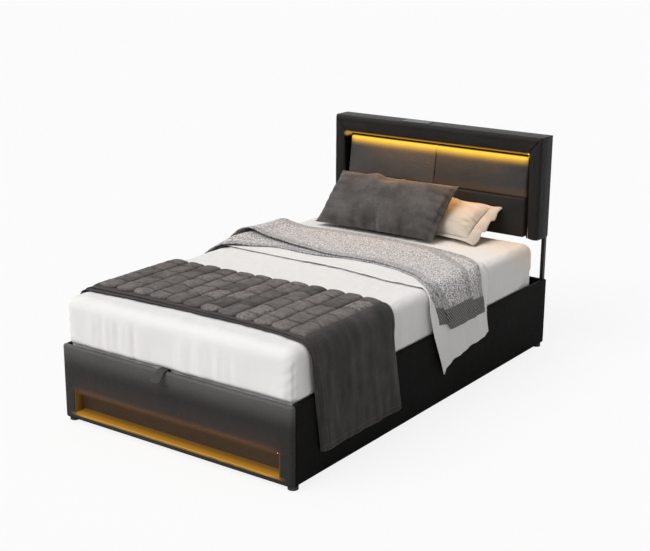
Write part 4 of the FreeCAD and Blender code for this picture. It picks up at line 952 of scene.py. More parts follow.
# %% The flat cut of a draped cloth
def cut_size(across, along):
    """The width and length that a cloth was cut to, and the area, from its points' places on the cloth."""
    one = (across[1:, 1:] - across[:-1, :-1]) * (along[:-1, 1:] - along[1:, :-1])
    two = (along[1:, 1:] - along[:-1, :-1]) * (across[:-1, 1:] - across[1:, :-1])
    area = float(np.abs(one - two).sum() / 2)
    return (float(np.ptp(across)), float(np.ptp(along))), area


def cloth_piece(name, across, along, rise, finish):
    """A cloth laid on the bed at a height above its sheet. It keeps its own flat place."""
    item = piece(name, lay(across, along, rise), grid_faces(*across.shape), finish, "platform")
    keep_place(item, "cloth_place", plane(across, along))
    return item


def declare_sheet(item, across, along):
    """Say how large the flat cloth was."""
    size, area = cut_size(across, along)
    print(item.name, "cut", [round(v, 3) for v in (*size, area)])


# %% Lay the top sheet
top_foot = through([
    (-1.1, -0.05), (-0.68, -0.03), (-0.56, -0.004), (-0.2, -0.010), (0.12, -0.008), (0.38, -0.05),
    (0.58, -0.052), (EDGE, -0.078), (EDGE + 0.11, -0.046), (EDGE + 0.34, 0.052),
])
top_head = through([(-1.1, 0.47), (0.55, 0.47), (EDGE + 0.13, 0.44), (EDGE + 0.26, 0.478)])
top_hem = through(
    [(0, hem_reach(0.158)), (0.09, hem_reach(0.182)), (0.3, hem_reach(0.203)), (1, hem_reach(0.246))]
)
across, along, _ = cloth_grid(78, 250, lambda v: -hem_reach(0.205) + 0 * v, top_hem, top_foot, top_head)
wave = soft_noise(plane(across * 0.6 + along * 0.9, along * 1.4), 6, 12)
thin = soft_noise(plane(across * 0.5 + along * 0.3, along * 2.2 - across * 0.9), 9, 15)
on_top = 1 - hanging(across)
rise = 0.0010 + on_top * (0.0016 * (wave + 1) + 0.0022 * np.maximum(0, 1 - 7 * np.abs(thin)))
rise = rise + 0.013 * folds(across, along, 2.2, 0.17) + 0.004 * ramp(np.abs(across), EDGE - 0.1, EDGE + 0.1)
hem_line = np.exp(-((along - top_foot(across) - 0.004) / 0.004) ** 2)
rise = rise + 0.0012 * hem_line
top_sheet = cloth_piece("top_sheet_cloth", across, along, rise, linen)
thicken(top_sheet, 0.0016)
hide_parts("top_sheet")
declare_sheet(top_sheet, across, along)
print("top sheet", len(top_sheet.data.polygons), "faces")

# %% [markdown]
# ## The blanket
# A grey woven blanket lies folded double above the sheet. The upper layer is drawn back from the
# lower one on the left and at the head, so both edges show, and a coarse band runs round its edge.

# %% Lower layer
low_foot = through([
    (-0.86, -0.10), (-0.68, -0.125), (-0.605, -0.11), (-0.575, -0.035), (-0.53, 0.012), (-0.46, 0.045),
    (-0.40, 0.078), (-0.333, 0.102), (-0.24, 0.096), (-0.12, 0.094), (-0.026, 0.118), (0.05, 0.135),
    (0.19, 0.14), (0.33, 0.116), (0.465, 0.062), (0.56, -0.02), (0.61, -0.058), (EDGE, -0.03),
    (EDGE + 0.06, -0.004), (EDGE + 0.14, 0.002),
])
low_head = through([
    (-0.86, 0.47), (-0.6, 0.50), (-0.3, 0.545), (0.0, 0.565), (0.3, 0.545), (0.48, 0.50), (0.56, 0.45),
    (0.62, 0.39), (EDGE, 0.375), (EDGE + 0.06, 0.40), (EDGE + 0.14, 0.42),
])
low_hem = through(
    [(0, hem_reach(0.405)), (0.25, hem_reach(0.385)), (0.6, hem_reach(0.366)), (1, hem_reach(0.361))]
)
LEFT_REACH = hem_reach(0.372)


def left_roll(across, along, height):
    """The bulge where the thick blanket turns over the bed's left edge."""
    return height * np.exp(-(((across + 0.60) / 0.085) ** 2)) * ramp(along, -0.12, 0.10)


def band(across, reach, along_gap, width):
    """1 inside the coarse band at a blanket's hem, and less along its other edges."""
    near_hem = ramp(width - (reach - np.abs(across)), -0.004, 0.004)
    near_edge = ramp(width * 0.42 - along_gap, -0.004, 0.004)
    return np.maximum(near_hem, 0.35 * near_edge)


across, along, share = cloth_grid(84, 270, lambda v: -LEFT_REACH + 0 * v, low_hem, low_foot, low_head)
ripple = soft_noise(plane(across * 0.7, along * 1.3), 6, 21)
rise = 0.0052 + 0.0018 * (ripple + 1) * (1 - hanging(across)) + 0.009 * folds(across, along, 4.0, 0.2)
rise = rise + left_roll(across, along, 0.024) + 0.0035 * ramp(np.abs(across), EDGE - 0.1, EDGE + 0.1)
low_blanket = cloth_piece("blanket_lower", across, along, rise, wool)
gap = np.minimum(along - low_foot(across), low_head(across) - along)
# The coarse band at the hem, plus painted shade over the whole hanging side, which takes the band's darker
# colour.
band_and_hang_shade = np.maximum(band(across, low_hem(share), gap, 0.085), 0.65 * hanging(across))
keep_place(low_blanket, "cloth_band_and_hang_shade", np.stack([band_and_hang_shade] * 3, axis=-1))
thicken(low_blanket, 0.004)
declare_sheet(low_blanket, across, along)

# %% Upper layer
high_foot = through([
    (-0.86, 0.03), (-0.68, 0.06), (-0.64, 0.11), (-0.60, 0.165), (-0.54, 0.186), (-0.476, 0.183),
    (-0.37, 0.165), (-0.264, 0.142), (-0.175, 0.138), (-0.07, 0.122), (-0.014, 0.128), (0.05, 0.142),
    (0.19, 0.148), (0.33, 0.124), (0.465, 0.072), (0.56, 0.0), (0.61, -0.02), (EDGE, 0.02),
    (EDGE + 0.05, 0.055), (EDGE + 0.14, 0.095),
])
high_head = through([
    (-0.86, 0.44), (-0.6, 0.47), (-0.3, 0.52), (0.1, 0.54), (0.288, 0.51), (0.457, 0.405),
    (0.557, 0.335), (0.62, 0.27), (EDGE, 0.265), (EDGE + 0.04, 0.295), (EDGE + 0.14, 0.32),
])
HIGH_REACH = hem_reach(0.363)
across, along, _ = cloth_grid(
    70, 270, lambda v: -LEFT_REACH + 0.01 + 0 * v, lambda v: HIGH_REACH + 0 * v, high_foot, high_head
)
ripple = soft_noise(plane(across * 0.7, along * 1.3), 5, 27)
on_top = 1 - hanging(across)
lift = 0.014 * np.exp(-((along - high_foot(across)) / 0.10)) * ramp(-across, -0.05, 0.45)
rise = 0.0118 + 0.0022 * (ripple + 1) * on_top + 0.009 * folds(across, along, 4.0, 0.2) + lift * on_top
rise = rise + left_roll(across, along, 0.030) + 0.0035 * ramp(np.abs(across), EDGE - 0.1, EDGE + 0.1)
fold_line = np.exp(-((along - (high_head(across) - 0.07)) / 0.012) ** 2) * hanging(across)
rise = rise - 0.003 * fold_line
high_blanket = cloth_piece("blanket_upper", across, along, rise, wool)
gap = np.minimum(along - high_foot(across), high_head(across) - along)
# The coarse band at the hem, plus painted shade over the whole hanging side, which takes the band's darker
# colour.
band_and_hang_shade = np.maximum(band(across, HIGH_REACH, gap, 0.105), 0.65 * hanging(across))
keep_place(high_blanket, "cloth_band_and_hang_shade", np.stack([band_and_hang_shade] * 3, axis=-1))
thicken(high_blanket, 0.004)
declare_sheet(high_blanket, across, along)
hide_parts("blanket")
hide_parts("blanket")
print("blanket", len(low_blanket.data.polygons) + len(high_blanket.data.polygons), "faces")

# %% [markdown]
# ## The quilted throw
# The throw is stitched into padded channels that run along the bed, each pinched by cross seams.
# It is folded double, so two flat layers show below the rounded channel ends, and its sides hang
# smooth with a stitched border.

# %% Throw edges
throw_low = through([
    (-1.08, -0.90), (-EDGE, -0.94), (-0.60, -0.952), (-0.34, -0.928), (-0.07, -0.914), (0.21, -0.911),
    (0.43, -0.922), (0.58, -0.950), (EDGE, -0.945), (EDGE + 0.06, -0.935), (EDGE + 0.38, -0.887),
])
throw_back = through([
    (-1.08, -0.33), (-0.60, -0.39), (-0.53, -0.376), (-0.145, -0.365), (0.285, -0.342), (0.60, -0.35),
    (EDGE, -0.375), (EDGE + 0.06, -0.37), (EDGE + 0.38, -0.305),
])
quilt_foot = through([
    (-1.08, -0.86), (-0.62, -0.888), (-0.56, -0.886), (-0.34, -0.876), (-0.07, -0.880), (0.21, -0.886),
    (0.43, -0.898), (0.545, -0.914), (0.60, -0.928), (EDGE, -0.930), (EDGE + 0.06, -0.922),
    (EDGE + 0.38, -0.874),
])
# Channels side by side and cells along each, how far the channels reach from the bed's middle, how
# high they rise, and how far in from its edge the throw's border is stitched.
CHANNELS = 12
CELLS = 4.6
FLAT = 0.573
CHANNEL_RISE = 0.0165
SEAM_INSET = 0.024
pitch = 2 * FLAT / CHANNELS


def throw_sheet(name, set_back, height):
    """One flat layer of the folded throw, further back by a share of the way to the channels."""
    hem = hem_reach(0.116)
    across, along, share = cloth_grid(
        60, 240, lambda v: -hem + 0 * v, lambda v: hem + 0 * v,
        lambda s: throw_low(s) * (1 - set_back) + quilt_foot(s) * set_back,
        lambda s: throw_back(s) - 0.004,
    )
    rise = height + 0.008 * folds(across, along, 1.3, 0.15)
    lumps = soft_noise(plane(across, along * 0.6), 11, 37)
    rise = rise + 0.0018 * (1 + lumps) * np.exp(-(share * 0.6) / 0.05)
    item = cloth_piece(name, across, along, rise, quilting)
    # Painted shade: the flat layers take a low, even tone, dark like the shaded hanging sides.
    keep_place(item, "cell_tone_and_painted_light", np.zeros((across.size, 3)) + (0.12, 0, 0))
    thicken(item, 0.0032)
    declare_sheet(item, across, along)
    return item


throw_first = throw_sheet("throw_layer_1", 0.0, 0.0010)
throw_second = throw_sheet("throw_layer_2", 0.42, 0.0056)

# %% Padded channels
HEM = hem_reach(0.112)
across, along, share = cloth_grid(
    112, 400, lambda v: -HEM + 0 * v, lambda v: HEM + 0 * v, quilt_foot, throw_back,
)
channel = np.clip((across + FLAT) / pitch, 0, CHANNELS - 1e-6)
number = np.floor(channel)
middle = np.abs(2 * (channel - number) - 1)
inside = ramp(FLAT - np.abs(across), -0.002, 0.012)
crown = (1 - middle**3.6) ** 0.5
start = quilt_foot(across)
run = throw_back(across) - start
# For each channel, eight steady numbers that shift its cells and vary their tone.
chance = np.array(
    [[noise.noise(Vector((n * 3.7, c * 2.9, 1.3))) for c in range(8)] for n in range(CHANNELS)]
)
row_of = number.astype(int)
offset = chance[row_of, 0] * 0.9
waver = soft_noise(plane(across * 1.5, along * 0.5), 14, 39)
cell = share * CELLS + offset + 0.06 * np.sin(middle * 3 + number * 2.1) + 0.05 * waver
nearest = np.clip(np.round(cell), 0, 7).astype(int)
cell_gap = np.abs(cell - nearest) * run / CELLS
cross_seam = np.exp(-((cell_gap / 0.0060) ** 2)) * (nearest >= 1) * (nearest < CELLS)
seam_pull = soft_noise(plane(across, along), 9, 43)
cross_seam = cross_seam * np.clip(0.9 + 0.5 * chance[row_of, nearest] + 0.3 * seam_pull, 0.4, 1)
long_seam = np.exp(-(((1 - middle) * pitch / 2 / 0.005) ** 2)) * inside
end_gap = np.minimum(share, 1 - share) * run
bullnose = np.sqrt(np.clip(1 - (1 - np.clip(end_gap / 0.021, 0, 1)) ** 2, 0, 1))
lumps = soft_noise(plane(across, along), 15, 31)
dents = soft_noise(plane(across * 0.7, along * 1.2), 33, 35)
# Each cell's random tone, painted lighter where its lumps and dents puff it up.
tone_and_painted_light = 0.57 + 0.66 * chance[row_of, np.clip(np.floor(cell), 0, 7).astype(int)] + 0.22 * lumps + 0.16 * dents
slant = plane(across * 1.1 + along * 0.5, along * 0.8)
creases = np.maximum(0, 1 - 5 * np.abs(soft_noise(slant, 13, 47)))
puff = crown * (1 - 0.45 * cross_seam) * (0.88 + 0.24 * lumps + 0.11 * dents - 0.16 * creases)
body_height = CHANNEL_RISE * puff * inside
hang_share = 1 - inside
border = np.minimum(np.minimum(share * run, (1 - share) * run), np.abs(HEM - np.abs(across)))
border_seam = np.exp(-(((border - SEAM_INSET) / 0.0030) ** 2)) * hang_share
plump = hang_share * 0.0045 * (1 - np.exp(-border / 0.008))
rise = 0.0100 + (body_height + plump) * bullnose + 0.0095 * folds(across, along, 1.3, 0.15)
rise = rise - 0.0024 * border_seam - 0.0028 * long_seam * bullnose + 0.0012 * hang_share * dents
points = lay(across, along, rise)
scallop = 0.030 * (1 - np.sqrt(1 - 0.97 * middle**2)) * inside
points[..., 1] += scallop * np.exp(-(share * run) / 0.03)
points[..., 1] -= scallop * 0.6 * np.exp(-((1 - share) * run) / 0.03)
quilt = piece("throw_quilt", points, grid_faces(*across.shape), quilting, "platform")
keep_place(quilt, "cloth_place", plane(across, along))
# Painted shade: the seams are marked for darkening.
seam_painted_shade = np.clip(long_seam + cross_seam * inside, 0, 1)
painted_sheen_streaks = soft_noise(plane(along, across * 0.12), 26, 49)
# Painted shade in the creases on top; on the hanging sides a dark tone of painted shade with painted sheen
# streaks.
tone_and_painted_light = np.where(inside > 0.5, tone_and_painted_light - 0.12 * creases, 0.07 + 0.06 * lumps + 0.10 * painted_sheen_streaks)
tone_and_painted_light = np.clip(tone_and_painted_light, 0, 1.2)
keep_place(quilt, "cell_tone_and_painted_light", plane(tone_and_painted_light, seam_painted_shade))
quilt_shell = quilt.modifiers.new("thickness", "SOLIDIFY")
quilt_shell.thickness = 0.0042
quilt_shell.offset = -0.2
declare_sheet(quilt, across, along)
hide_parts("quilted_throw")
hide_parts("quilted_throw")
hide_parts("quilted_throw")
throw_grid = (across, along, rise, run)
print("quilt", len(quilt.data.polygons), "faces")

# %% [markdown]
# ## Pillows
# A pillowcase is two flat rectangles sewn together and filled. Blown up as cloth it makes its own
# creases along the seams, which a drawn shape wouldn't have. It is spread back to its sewn
# outline, leant back at its body's angle and pressed flat where it rests.

# %% Fill a flat case
def filled_case(width, height, thick, steps):
    """A closed case as a double sheet, already a little full, with points about steps apart."""
    cols = int(width / steps) + 1
    rows = int(height / steps) + 1
    u, v = np.meshgrid(np.linspace(-1, 1, cols), np.linspace(-1, 1, rows))
    full = ((1 - np.abs(u) ** 3.2) * (1 - np.abs(v) ** 2.6)) ** 0.62
    x = u * width / 2 * (1 - 0.035 * (1 - v * v))
    y = v * height / 2 * (1 - 0.05 * (1 - u * u))
    z = thick / 2 * full
    top = np.stack([x, y, z], axis=-1).reshape(-1, 3)
    inner = [(r, c) for r in range(1, rows - 1) for c in range(1, cols - 1)]
    low_index = {}
    points = list(top)
    for r, c in inner:
        low_index[(r, c)] = len(points)
        below = top[r * cols + c].copy()
        below[2] = -below[2]
        points.append(below)
    faces = grid_faces(rows, cols)

    def under(r, c):
        return low_index.get((r, c), r * cols + c)

    for r in range(rows - 1):
        for c in range(cols - 1):
            faces.append((under(r, c), under(r + 1, c), under(r + 1, c + 1), under(r, c + 1)))
    return np.array(points), faces


def blown(points, faces):
    """The same mesh after a short cloth simulation under pressure."""
    frames = 20
    mesh = bpy.data.meshes.new("case")
    mesh.from_pydata(points.tolist(), [], faces)
    item = bpy.data.objects.new("case", mesh)
    scene.collection.objects.link(item)
    cloth = item.modifiers.new("cloth", "CLOTH")
    cloth.settings.use_pressure = True
    cloth.settings.uniform_pressure_force = 2.2
    cloth.settings.effector_weights.gravity = 0
    cloth.settings.quality = 6
    cloth.settings.mass = 0.3
    cloth.settings.tension_stiffness = 25
    cloth.settings.compression_stiffness = 25
    cloth.settings.bending_stiffness = 0.4
    cloth.settings.shrink_min = -0.02
    cloth.point_cache.frame_end = frames
    for number in range(1, frames + 1):
        scene.frame_set(number)
    seen = item.evaluated_get(bpy.context.evaluated_depsgraph_get())
    result = np.empty(len(points) * 3)
    seen.data.vertices.foreach_get("co", result)
    scene.frame_set(1)
    bpy.data.objects.remove(item, do_unlink=True)
    bpy.data.meshes.remove(mesh)
    return result.reshape(-1, 3)


def square_up(points, rest, width, height, steps):
    """Spread a blown case back to its sewn outline, so only its creases and fullness are new."""
    cols = int(width / steps) + 1
    rows = int(height / steps) + 1
    count = rows * cols
    r_of = np.concatenate([np.repeat(np.arange(rows), cols), np.repeat(np.arange(1, rows - 1), cols - 2)])
    c_of = np.concatenate([np.tile(np.arange(cols), rows), np.tile(np.arange(1, cols - 1), rows - 2)])
    made = points[:count].reshape(rows, cols, 3)
    sewn = rest[:count].reshape(rows, cols, 3)
    for axis, low, high, place in ((1, 0, rows - 1, c_of), (0, 0, cols - 1, r_of)):
        made_low = made[low, :, 1] if axis == 1 else made[:, low, 0]
        made_high = made[high, :, 1] if axis == 1 else made[:, high, 0]
        sewn_low = sewn[low, :, 1] if axis == 1 else sewn[:, low, 0]
        sewn_high = sewn[high, :, 1] if axis == 1 else sewn[:, high, 0]
        share = (points[:, axis] - made_low[place]) / (made_high - made_low)[place]
        points[:, axis] = sewn_low[place] + share * (sewn_high - sewn_low)[place]
    edge_gap = np.minimum(np.minimum(r_of, rows - 1 - r_of), np.minimum(c_of, cols - 1 - c_of)) * steps
    mix = (0.75 * ramp(edge_gap, 0.0, 0.05))[:, None]
    return rest + mix * (points - rest)


def fit_size(points, width, height, thick):
    """Scale a case to its outside sizes about its own middle."""
    low = points.min(axis=0)
    high = points.max(axis=0)
    return (points - (low + high) / 2) * (np.array([width, height, thick]) / (high - low))


def lean_back(points, tilt, swing, centre, foot, rest):
    """Turn a lying case up by tilt, swing it, and set its lowest point on the bed."""
    matrix = Matrix.Rotation(math.radians(swing), 3, "Z") @ Matrix.Rotation(math.radians(tilt), 3, "X")
    turned = points @ np.array(matrix).T
    turned[:, 0] += centre
    turned[:, 1] += foot - turned[:, 1].min()
    turned[:, 2] += rest - turned[:, 2].min()
    return turned


def press(points, level):
    """Flatten what lies below a level, as a pillow does on a bed."""
    soften = 0.012
    depth = np.maximum(level + soften - points[:, 2], 0)
    points[:, 2] = np.where(
        depth > 0, level + soften - soften * (1 - np.exp(-depth / soften)), points[:, 2]
    )
    return points


def fold_shade_and_highlight(crease):
    """For the case's colour, painted shade and highlight: how far each point lies in a crease, painted
    darker, and how far on a ridge, painted lighter.
    """
    return plane(np.clip(-crease / 0.004, 0, 1), np.clip(crease / 0.004, 0, 1))


# %% Dark pillow
dark_low, dark_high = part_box("dark_pillow")
DARK_CUT = (0.70, 0.36)
DARK_WIDTH = 0.715
DARK_HEIGHT = 0.355
case, case_faces = filled_case(*DARK_CUT, 0.115, 0.0095)
case = square_up(blown(case, case_faces), case, *DARK_CUT, 0.0095)
case = fit_size(case, DARK_WIDTH, DARK_HEIGHT, 0.128)
u = case[:, 0] / (DARK_WIDTH / 2)
v = case[:, 1] / (DARK_HEIGHT / 2)
seam_gap = (1 + v) * (DARK_HEIGHT / 2)
spot = plane(u * 2, v * 0.4)
bend = u * 13 + 1.3 * np.sin(u * 5) + 0.9 * v
rays = (np.abs(np.sin(bend)) ** 0.6 - 0.55) * np.clip(soft_noise(spot, 2.2, 41) + 0.55, 0.1, 1)
crease = 0.014 * rays * np.exp(-seam_gap / 0.09) * ramp(seam_gap, 0.0, 0.02)
top_gap = (1 - v) * (DARK_HEIGHT / 2)
gathers = np.abs(np.sin(u * 31 + 3 * np.sin(u * 9))) - 0.5
crease += 0.006 * gathers * np.exp(-top_gap / 0.035) * ramp(top_gap, 0.0, 0.012)
side_gap = (1 - np.abs(u)) * (DARK_WIDTH / 2)
crease += 0.008 * (np.abs(np.sin(v * 11 + u)) - 0.5) * np.exp(-side_gap / 0.07) * ramp(side_gap, 0.0, 0.015)
broad = soft_noise(plane(u * 1.6 + v * 0.5, v * 1.1), 2.0, 44)
case[:, 2] += np.sign(case[:, 2]) * (crease + 0.005 * broad) * ramp(np.abs(case[:, 2]), 0.0, 0.02)
painted_fold_shading = fold_shade_and_highlight(crease)
case = lean_back(case, 43, 0.6, (dark_low.x + dark_high.x) / 2, dark_low.y + 0.002, dark_low.z - 0.004)
case = press(case, bed_top + 0.0135)
dark = piece("dark_pillow_case", case, case_faces, velvet, "platform")
keep_place(dark, "painted_fold_shading", painted_fold_shading)
smooth(dark)
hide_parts("dark_pillow")
print("dark pillow", [round(v, 3) for v in np.ptp(case, axis=0)])

# %% White pillow
white_low, white_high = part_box("white_pillow")
FLANGE = 0.046
WHITE_WIDTH = 0.575
WHITE_HEIGHT = 0.262
case, case_faces = filled_case(WHITE_WIDTH, WHITE_HEIGHT, 0.10, 0.0115)
case = square_up(blown(case, case_faces), case, WHITE_WIDTH, WHITE_HEIGHT, 0.0115)
case = fit_size(case, WHITE_WIDTH, WHITE_HEIGHT, 0.122)
u = case[:, 0] / (WHITE_WIDTH / 2)
v = case[:, 1] / (WHITE_HEIGHT / 2)
end_gap = (1 - np.abs(u)) * WHITE_WIDTH / 2
bend = v * 11 * (1 - 0.25 * np.abs(u)) + 0.9 * np.sin(v * 5 + 1) + 0.5 * np.sin(u * 7)
rays = np.abs(np.sin(bend)) ** 0.6 + 0.5 * np.abs(np.sin(bend * 2.3 + 0.7)) - 0.8
crease = 0.012 * rays * np.exp(-end_gap / 0.14) * ramp(end_gap, 0.0, 0.012) * (1 - v**4)
case[:, 2] += np.sign(case[:, 2]) * crease * ramp(np.abs(case[:, 2]), 0.0, 0.012)
painted_fold_shading = fold_shade_and_highlight(crease)

# %% Its flat border, wavy where nothing holds it
ring_count = 260
half_w = WHITE_WIDTH / 2
half_h = WHITE_HEIGHT / 2
edge_run = 2 * (WHITE_WIDTH + WHITE_HEIGHT)
ring_at = np.linspace(0, 1, ring_count, endpoint=False) * edge_run
corner_x = np.array([-half_w, half_w, half_w, -half_w, -half_w])
corner_y = np.array([-half_h, -half_h, half_h, half_h, -half_h])
corner_at = np.array([0, WHITE_WIDTH, WHITE_WIDTH + WHITE_HEIGHT, 2 * WHITE_WIDTH + WHITE_HEIGHT, edge_run])
line_x = np.interp(ring_at, corner_at, corner_x)
line_y = np.interp(ring_at, corner_at, corner_y)
at_end = ramp(np.abs(line_x), half_w - 0.06, half_w)
rows = []
for share_out in np.linspace(-0.15, 1, 10):
    out = max(share_out, 0)
    grow_x = FLANGE * share_out * np.sign(line_x) * at_end
    at_long_side = ramp(np.abs(line_y), half_h - 0.03, half_h)
    grow_y = FLANGE * (0.30 + 0.25 * at_end) * share_out * np.sign(line_y) * at_long_side
    pull_in_x = 0.030 * line_x * (1 - (line_y / half_h) ** 2) * (1 - 0.5 * out)
    pull_in_y = 0.05 * line_y * (1 - (line_x / half_w) ** 2) * (1 - 0.5 * out)
    wave = 0.010 * out * np.sin(ring_at * 62 + 1.2 * np.sin(ring_at * 9)) * (0.12 + 0.88 * at_end)
    wave = wave + 0.0025 * out * np.sin(ring_at * 118 + 1) * at_end
    droop = -0.016 * out**2 * at_end
    rows.append(np.stack([line_x + grow_x - pull_in_x, line_y + grow_y - pull_in_y, wave + droop], axis=-1))
border_points = np.array(rows).reshape(-1, 3)
everything = np.concatenate([case, border_points])
everything = lean_back(
    everything, 27, -2.0, (white_low.x + white_high.x) / 2, white_low.y - 0.004, white_low.z - 0.004
)
everything = press(everything, bed_top + 0.002)
white_case = piece(
    "white_pillow_case", everything[: len(case)], case_faces, pillow_linen_painted_light_and_shade, "platform"
)
keep_place(white_case, "painted_fold_shading", painted_fold_shading)
smooth(white_case)
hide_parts("white_pillow")
ring_faces = grid_faces(len(rows), ring_count, round_cols=True)
white_border = piece(
    "white_pillow_border", everything[len(case):], ring_faces, pillow_linen_painted_light_and_shade, "platform"
)
thicken(white_border, 0.002)
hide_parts("white_pillow")
print("pillows", len(dark.data.polygons) + len(white_case.data.polygons), "faces")

# %% [markdown]
# ## Stitches and staples
# Thread and staples repeat along a line, so Geometry Nodes set them out. The line is a mesh of
# edges. The tree makes it a curve, puts a short round bar at each even step along it and turns the
# bar along the line. The result is made a plain mesh, because an export drops instances.

# %% The tree
def bar_tree(name, finish):
    """A Geometry Nodes tree that sets short bars along a line."""
    tree = bpy.data.node_groups.new(name, "GeometryNodeTree")
    tree.interface.new_socket("Line", in_out="INPUT", socket_type="NodeSocketGeometry")
    for title in ("Spacing", "Length", "Radius"):
        tree.interface.new_socket(title, in_out="INPUT", socket_type="NodeSocketFloat")
    tree.interface.new_socket("Bars", in_out="OUTPUT", socket_type="NodeSocketGeometry")
    start = tree.nodes.new("NodeGroupInput")
    curve = tree.nodes.new("GeometryNodeMeshToCurve")
    places = tree.nodes.new("GeometryNodeCurveToPoints")
    places.mode = "LENGTH"
    bar = tree.nodes.new("GeometryNodeMeshCylinder")
    bar.inputs["Vertices"].default_value = 6
    put = tree.nodes.new("GeometryNodeInstanceOnPoints")
    real = tree.nodes.new("GeometryNodeRealizeInstances")
    dress = tree.nodes.new("GeometryNodeSetMaterial")
    dress.inputs["Material"].default_value = finish.material
    end = tree.nodes.new("NodeGroupOutput")
    for source, target in (
        (start.outputs["Line"], curve.inputs[0]),
        (curve.outputs[0], places.inputs["Curve"]),
        (start.outputs["Spacing"], places.inputs["Length"]),
        (start.outputs["Length"], bar.inputs["Depth"]),
        (start.outputs["Radius"], bar.inputs["Radius"]),
        (places.outputs["Points"], put.inputs["Points"]),
        (bar.outputs["Mesh"], put.inputs["Instance"]),
        (places.outputs["Rotation"], put.inputs["Rotation"]),
        (put.outputs[0], real.inputs[0]),
        (real.outputs[0], dress.inputs["Geometry"]),
        (dress.outputs[0], end.inputs[0]),
    ):
        tree.links.new(source, target)
    return tree


def bars_along(name, tree, lines, sizes, body):
    """A plain mesh of bars along some lines, riding on a body."""
    points = [tuple(p) for line in lines for p in line]
    edges = []
    first = 0
    for line in lines:
        edges += [(first + i, first + i + 1) for i in range(len(line) - 1)]
        first += len(line)
    mesh = bpy.data.meshes.new(name)
    mesh.from_pydata(points, edges, [])
    item = bpy.data.objects.new(name, mesh)
    scene.collection.objects.link(item)
    nodes = item.modifiers.new("bars", "NODES")
    nodes.node_group = tree
    for socket in tree.interface.items_tree:
        if socket.in_out == "INPUT" and socket.name in sizes:
            nodes[socket.identifier] = sizes[socket.name]
    seen = item.evaluated_get(bpy.context.evaluated_depsgraph_get())
    made = bpy.data.meshes.new_from_object(seen)
    item.modifiers.clear()
    item.data = made
    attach(item, body)
    print(name, len(made.polygons), "faces")


# %% Stitches round the throw's hanging sides
across, along, rise, run = throw_grid
thread_tree = bar_tree("thread_bars", thread)
outer = lay(across, along, rise + 0.0024)
inset_row = int(round(SEAM_INSET / run.mean() * (across.shape[0] - 1)))
side_cols = int(round(SEAM_INSET / (2 * HEM) * (across.shape[1] - 1)))
flat_cols = int(np.argmax(np.abs(across[0]) < EDGE))
thread_lines = [outer[:, side_cols], outer[:, -1 - side_cols]]
for row in (inset_row, across.shape[0] - 1 - inset_row):
    thread_lines += [outer[row, : flat_cols + 1], outer[row, -1 - flat_cols:]]
stitch_sizes = {"Spacing": 0.0085, "Length": 0.0052, "Radius": 0.0006}
bars_along("throw_stitches", thread_tree, thread_lines, stitch_sizes, "platform")

# %% Staples round the headboard's dust cover
cover_low, cover_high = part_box("headboard_dust_cover")
cover_y = cover_high.y + 0.0004
inset = 0.012
cover_left = cover_low.x + inset
cover_right = cover_high.x - inset
cover_foot = cover_low.z + inset
cover_top = cover_high.z - inset
cover_ring = [
    (cover_left, cover_y, cover_foot), (cover_right, cover_y, cover_foot), (cover_right, cover_y, cover_top),
    (cover_left, cover_y, cover_top), (cover_left, cover_y, cover_foot),
]
staple_tree = bar_tree("staple_bars", steel)
staple_sizes = {"Spacing": 0.055, "Length": 0.011, "Radius": 0.0006}
bars_along("dust_cover_staples", staple_tree, [cover_ring], staple_sizes, "base")

# %% [markdown]
# ## The headboard's padding
# The border is leather over foam, mitred at the two top corners. Its front is slightly crowned,
# it slopes in towards the panels, and the leather dips at each mitre. The four panels are flatter
# cushions with round edges.

# %% Border pads
pad_low, pad_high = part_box("headboard_pad_top")
FRONT = pad_low.y
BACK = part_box("headboard_dust_cover")[0].y - 0.0005
OUTER = pad_high.x
TOP = pad_high.z
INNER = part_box("headboard_backboard")[1].x
UNDER = pad_low.z
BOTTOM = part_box("headboard_pad_left")[0].z


def pad_profile(slope, fall):
    """Across a pad from its outer back edge over the front to its inner back edge.

    Each point is a share across, 0 outside and 1 inside, and a place along Y. slope is the share
    at which the front starts to fall towards the panels, and fall how far it falls.
    """
    round_out = 0.019
    width = OUTER - INNER
    points = [(0.0, BACK), (0.0, FRONT + 0.06)]
    for angle in np.linspace(0, math.pi / 2, 10):
        points.append(
            ((1 - math.cos(angle)) * round_out / width, FRONT + round_out * (1 - math.sin(angle)))
        )
    for share in np.linspace(round_out / width, slope, 8)[1:]:
        crown = math.sin(math.pi * (share - round_out / width) / (slope - round_out / width))
        points.append((share, FRONT + 0.0025 - 0.0025 * crown))
    edge = 0.94
    for share in np.linspace(min(slope, 0.93), edge, 6)[1:]:
        points.append((share, FRONT + 0.0025 + fall * (share - slope) / max(edge - slope, 0.01)))
    for angle in np.linspace(0, math.pi / 2, 5)[1:]:
        points.append(
            (edge + 0.06 * math.sin(angle), FRONT + 0.0025 + fall + 0.006 * (1 - math.cos(angle)))
        )
    points.append((1.0, FRONT + 0.05))
    points.append((1.0, BACK))
    return points


def side_profile(along_share):
    """A side pad's profile: low down it starts to fall nearer its middle, and falls further."""
    return pad_profile(0.45 + 0.45 * along_share, 0.003 + 0.014 * (1 - along_share) ** 0.7)


def top_profile(_):
    """The top pad's profile, the same all along."""
    return pad_profile(0.90, 0.003)


def border_pad(name, node, rows, place_of, profile_of):
    """A pad from profiles: place_of turns a share along and a profile point into X, Y and Z."""
    grid = np.array([[place_of(along, share, y) for share, y in profile_of(along)] for along in rows])
    count = grid.shape[1]
    faces = grid_faces(len(rows), count, round_cols=True)
    faces.append(tuple(range(count - 1, -1, -1)))
    faces.append(tuple((len(rows) - 1) * count + i for i in range(count)))
    item = piece(name, grid, faces, border_leather, "base")
    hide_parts(node)
    print(name, len(item.data.polygons), "faces")


GROOVE = 0.005
CURL = 0.014


